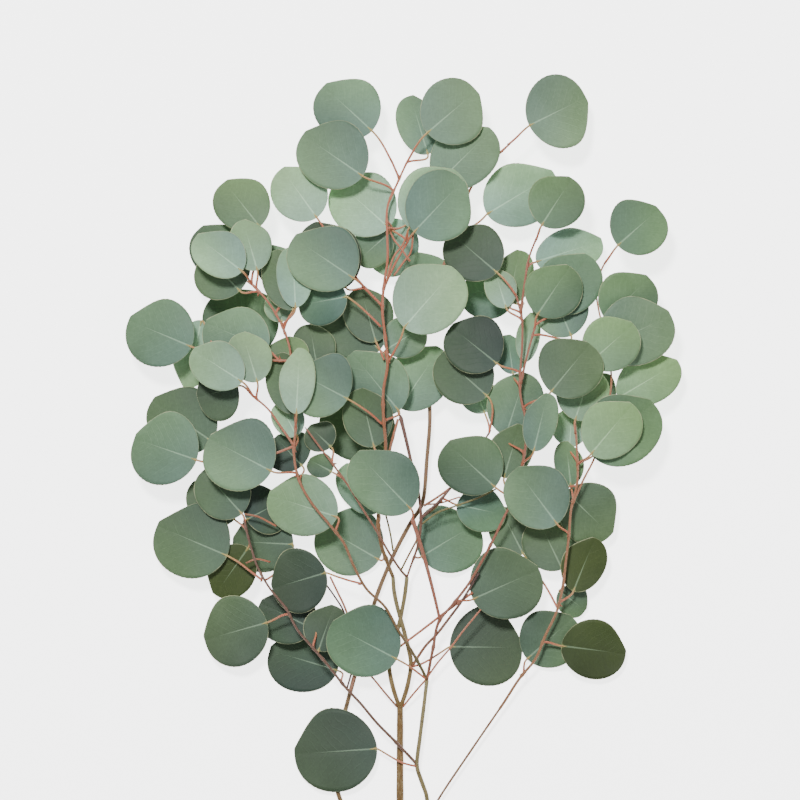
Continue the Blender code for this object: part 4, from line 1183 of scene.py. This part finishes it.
def leaf_material():
    """Waxy grey-green leaf: painted shade darkening one half of each blade and lightening the other, mottled
    tone, pale midrib, faint side veins, thin yellowish rim.
    """
    n = Nodes("eucalyptus_leaf")
    along = n.mark("along")
    aside = n.mark("aside")
    edge = n.mark("edge")
    size = n.mark("size")
    far = n.maths("ABSOLUTE", aside)

    # Painted shade and light: one half of each blade is darker and the other lighter across its width, on a
    # side that the leaf's chance picks.
    shade_lean = n.minus(n.times(n.mark("chance"), 2.0), 1.0)
    shade_slant = n.times(n.over(aside, size), shade_lean)
    colour = n.lit(n.tone(), n.smooth(shade_slant, *SHADE_SLANT_RANGE))

    green = n.plus(n.times(shade_slant, GREEN_SLANT), n.times(n.minus(along, GREEN_START), GREEN_RISE))
    colour = n.mix(n.smooth(green, *GREEN_RANGE), n.tinted(colour, COOL_SHIFT), n.tinted(colour, WARM_SHIFT))

    broad = n.noise(n.place, *BROAD_NOISE)
    colour = n.mix(n.smooth(broad, *BLOOM_RANGE), colour, n.tinted(colour, BLOOM_SHIFT))
    fine = n.noise(n.place, *FINE_NOISE)
    colour = n.lit(colour, n.smooth(fine, *SPECK_RANGE))

    wobble = n.times(n.minus(broad, 0.5), VEIN_WOBBLE)
    rise = n.minus(along, n.times(n.over(far, size), VEIN_SLANT))
    stripe = n.maths("FRACT", n.plus(n.times(n.plus(rise, wobble), VEIN_COUNT), VEIN_START))
    vein = n.smooth(n.maths("ABSOLUTE", n.minus(stripe, 0.5)), *VEIN_RANGE)
    vein = n.times(vein, n.smooth(edge, *VEIN_FADE))
    colour = n.mix(n.times(vein, VEIN_SHARE), colour, n.tinted(colour, VEIN_SHIFT))

    rib = n.smooth(n.over(far, n.smooth(along, *RIB_WIDTH)), *RIB_RANGE)
    rib = n.times(rib, n.smooth(along, *RIB_FADE))
    ribbed = n.mix(RIB_PALE, n.tinted(colour, RIB_SHIFT), rgba(RIB_COLOUR))
    colour = n.mix(n.times(rib, RIB_SHARE), colour, ribbed)

    base = n.plus(n.times(along, size), n.times(far, BASE_SPREAD))
    colour = n.mix(n.smooth(base, *BASE_RANGE), colour, rgba(BASE_COLOUR))

    broken = n.smooth(n.noise(n.place, *RIM_NOISE), *RIM_BREAKS)
    colour = n.mix(n.times(n.smooth(edge, *RIM_RANGE), broken), colour, rgba(RIM_COLOUR))

    height = n.plus(n.times(vein, VEIN_HEIGHT), n.times(rib, RIB_HEIGHT))
    height = n.plus(height, n.times(fine, FINE_HEIGHT))
    return n.finish(colour, n.smooth(broad, *LEAF_ROUGH), height, LEAF_BUMP, LEAF_SHINE)


def twig_material():
    """Smooth young bark: the tone with fine lengthwise streaks and a slight waxy film."""
    n = Nodes("eucalyptus_twig")
    streak = n.streaks(*TWIG_STREAKS, TWIG_STREAK_NOISE)
    patch = n.noise(n.place, *TWIG_PATCH_NOISE)
    colour = n.lit(n.tone(), n.smooth(streak, *TWIG_LIGHT))
    colour = n.mix(n.smooth(patch, *TWIG_FILM), colour, rgba(TWIG_FILM_COLOUR))
    return n.finish(colour, n.smooth(patch, *TWIG_ROUGH), streak, TWIG_BUMP, TWIG_SHINE)


def bark_material():
    """Older bark: brown and olive streaks along the stem, small dark scars, and a dry surface."""
    n = Nodes("eucalyptus_bark")
    streak = n.streaks(*BARK_STREAKS, BARK_STREAK_NOISE)
    scar = n.noise(n.place, *BARK_SCAR_NOISE)
    colour = n.mix(n.smooth(streak, *BARK_LIGHT), n.tone(), rgba(BARK_LIGHT_COLOUR))
    colour = n.mix(n.smooth(scar, *BARK_SCARS), colour, rgba(BARK_SCAR_COLOUR))
    height = n.minus(streak, n.times(scar, BARK_SCAR_DEPTH))
    return n.finish(colour, n.smooth(streak, *BARK_ROUGH), height, BARK_BUMP, BARK_SHINE)


def floor_material():
    """Pale plain paper that glows a little."""
    n = Nodes("pale_floor")
    grain = n.noise(n.place, *FLOOR_NOISE)
    light = n.smooth(grain, *FLOOR_LIGHT)
    n.fill(n.shader, {"Emission Color": WHITE, "Emission Strength": FLOOR_GLOW})
    colour = n.vector(light, light, light)
    return n.finish(colour, n.smooth(grain, *FLOOR_ROUGH), grain, FLOOR_BUMP, FLOOR_SHINE)


def add_light(name, place, size, energy, target):
    data = bpy.data.lights.new(name, "AREA")
    data.shape = "DISK"
    data.size = size
    data.energy = energy
    made = bpy.data.objects.new(name, data)
    made.location = place
    made.rotation_euler = (Vector(target) - Vector(place)).to_track_quat("-Z", "Y").to_euler()
    bpy.context.scene.collection.objects.link(made)


# The arrangement, and the shift that puts its box on the frame's origin, as in the part.
stems, routes, blades, stalks = arrange()
corners = [stems["trunk"][:1]]
for found in blades.values():
    for blade in found.values():
        corners += [blade_points(blade, np.array(BLADE_ROWS), v) for v in (-1, 0, 1)]
corners = np.vstack(corners)
middle = (corners.min(axis=0) + corners.max(axis=0)) / 2
middle[2] = 0.0

leaf = leaf_material()
twig = twig_material()
bark = bark_material()

for spray, found in blades.items():
    words = TONES[spray].split()
    shift = SPRAY_NUMBERS * list(blades).index(spray)
    leaves = Gathered()
    for number, blade in sorted(found.items()):
        straight = 1 if blade.along[0] > 0 else -1
        if (spray, number) in LOW_SHOULDERS:
            straight = -straight
        verts, faces, marks = fine_blade(blade, number + shift, straight)
        leaves.add(verts, faces, leaf_tone(words[number], number + shift), marks)
    leaves.build(f"{spray}_leaves", leaf, [f"{spray}_spray"])
    twigs = Gathered()
    add_twigs(twigs, spray, routes[spray], stalks[spray])
    twigs.build(f"{spray}_twigs", twig, [f"{spray}_spray"])

wood = Gathered()
for name, stem in STEMS.items():
    add_stem(wood, name, stems[name], stem)
add_cut_end(wood, stems["trunk"], STEMS["trunk"].root_radius * MM)
wood.build("woody_stems_bark", bark, ["woody_stems"])

# The stage: a plain floor, soft light from the upper left, and the camera straight above.
mesh = bpy.data.meshes.new("floor")
corners = [(x * FLOOR_SIZE / 2, y * FLOOR_SIZE / 2, FLOOR_DROP) for x, y in FLOOR_CORNERS]
mesh.from_pydata(corners, [], [(0, 1, 2, 3)])
mesh.materials.append(floor_material())
floor = bpy.data.objects.new("floor", mesh)
bpy.context.scene.collection.objects.link(floor)

add_light("key", KEY_PLACE, KEY_SIZE, KEY_ENERGY, (0, 0, 0))
add_light("fill", FILL_PLACE, FILL_SIZE, FILL_ENERGY, (0, 0, 0))
world_light = bpy.data.worlds.new("studio")
world_light.use_nodes = True
background = world_light.node_tree.nodes["Background"]
background.inputs["Color"].default_value = WHITE
background.inputs["Strength"].default_value = WORLD_STRENGTH
bpy.context.scene.world = world_light

centre = world(MIDDLE_STEP, DRAWN_STEPS / 2, CAMERA_FOCUS) - middle
data = bpy.data.cameras.new("camera")
data.lens = CAMERA_LENS
data.sensor_width = CAMERA_SENSOR
data.clip_end = CAMERA_REACH
data.dof.use_dof = False
camera = bpy.data.objects.new("camera", data)
camera.location = (centre[0], centre[1], centre[2] + DRAWN_HEIGHT * CAMERA_LENS / CAMERA_SENSOR)
bpy.context.scene.collection.objects.link(camera)
bpy.context.scene.camera = camera
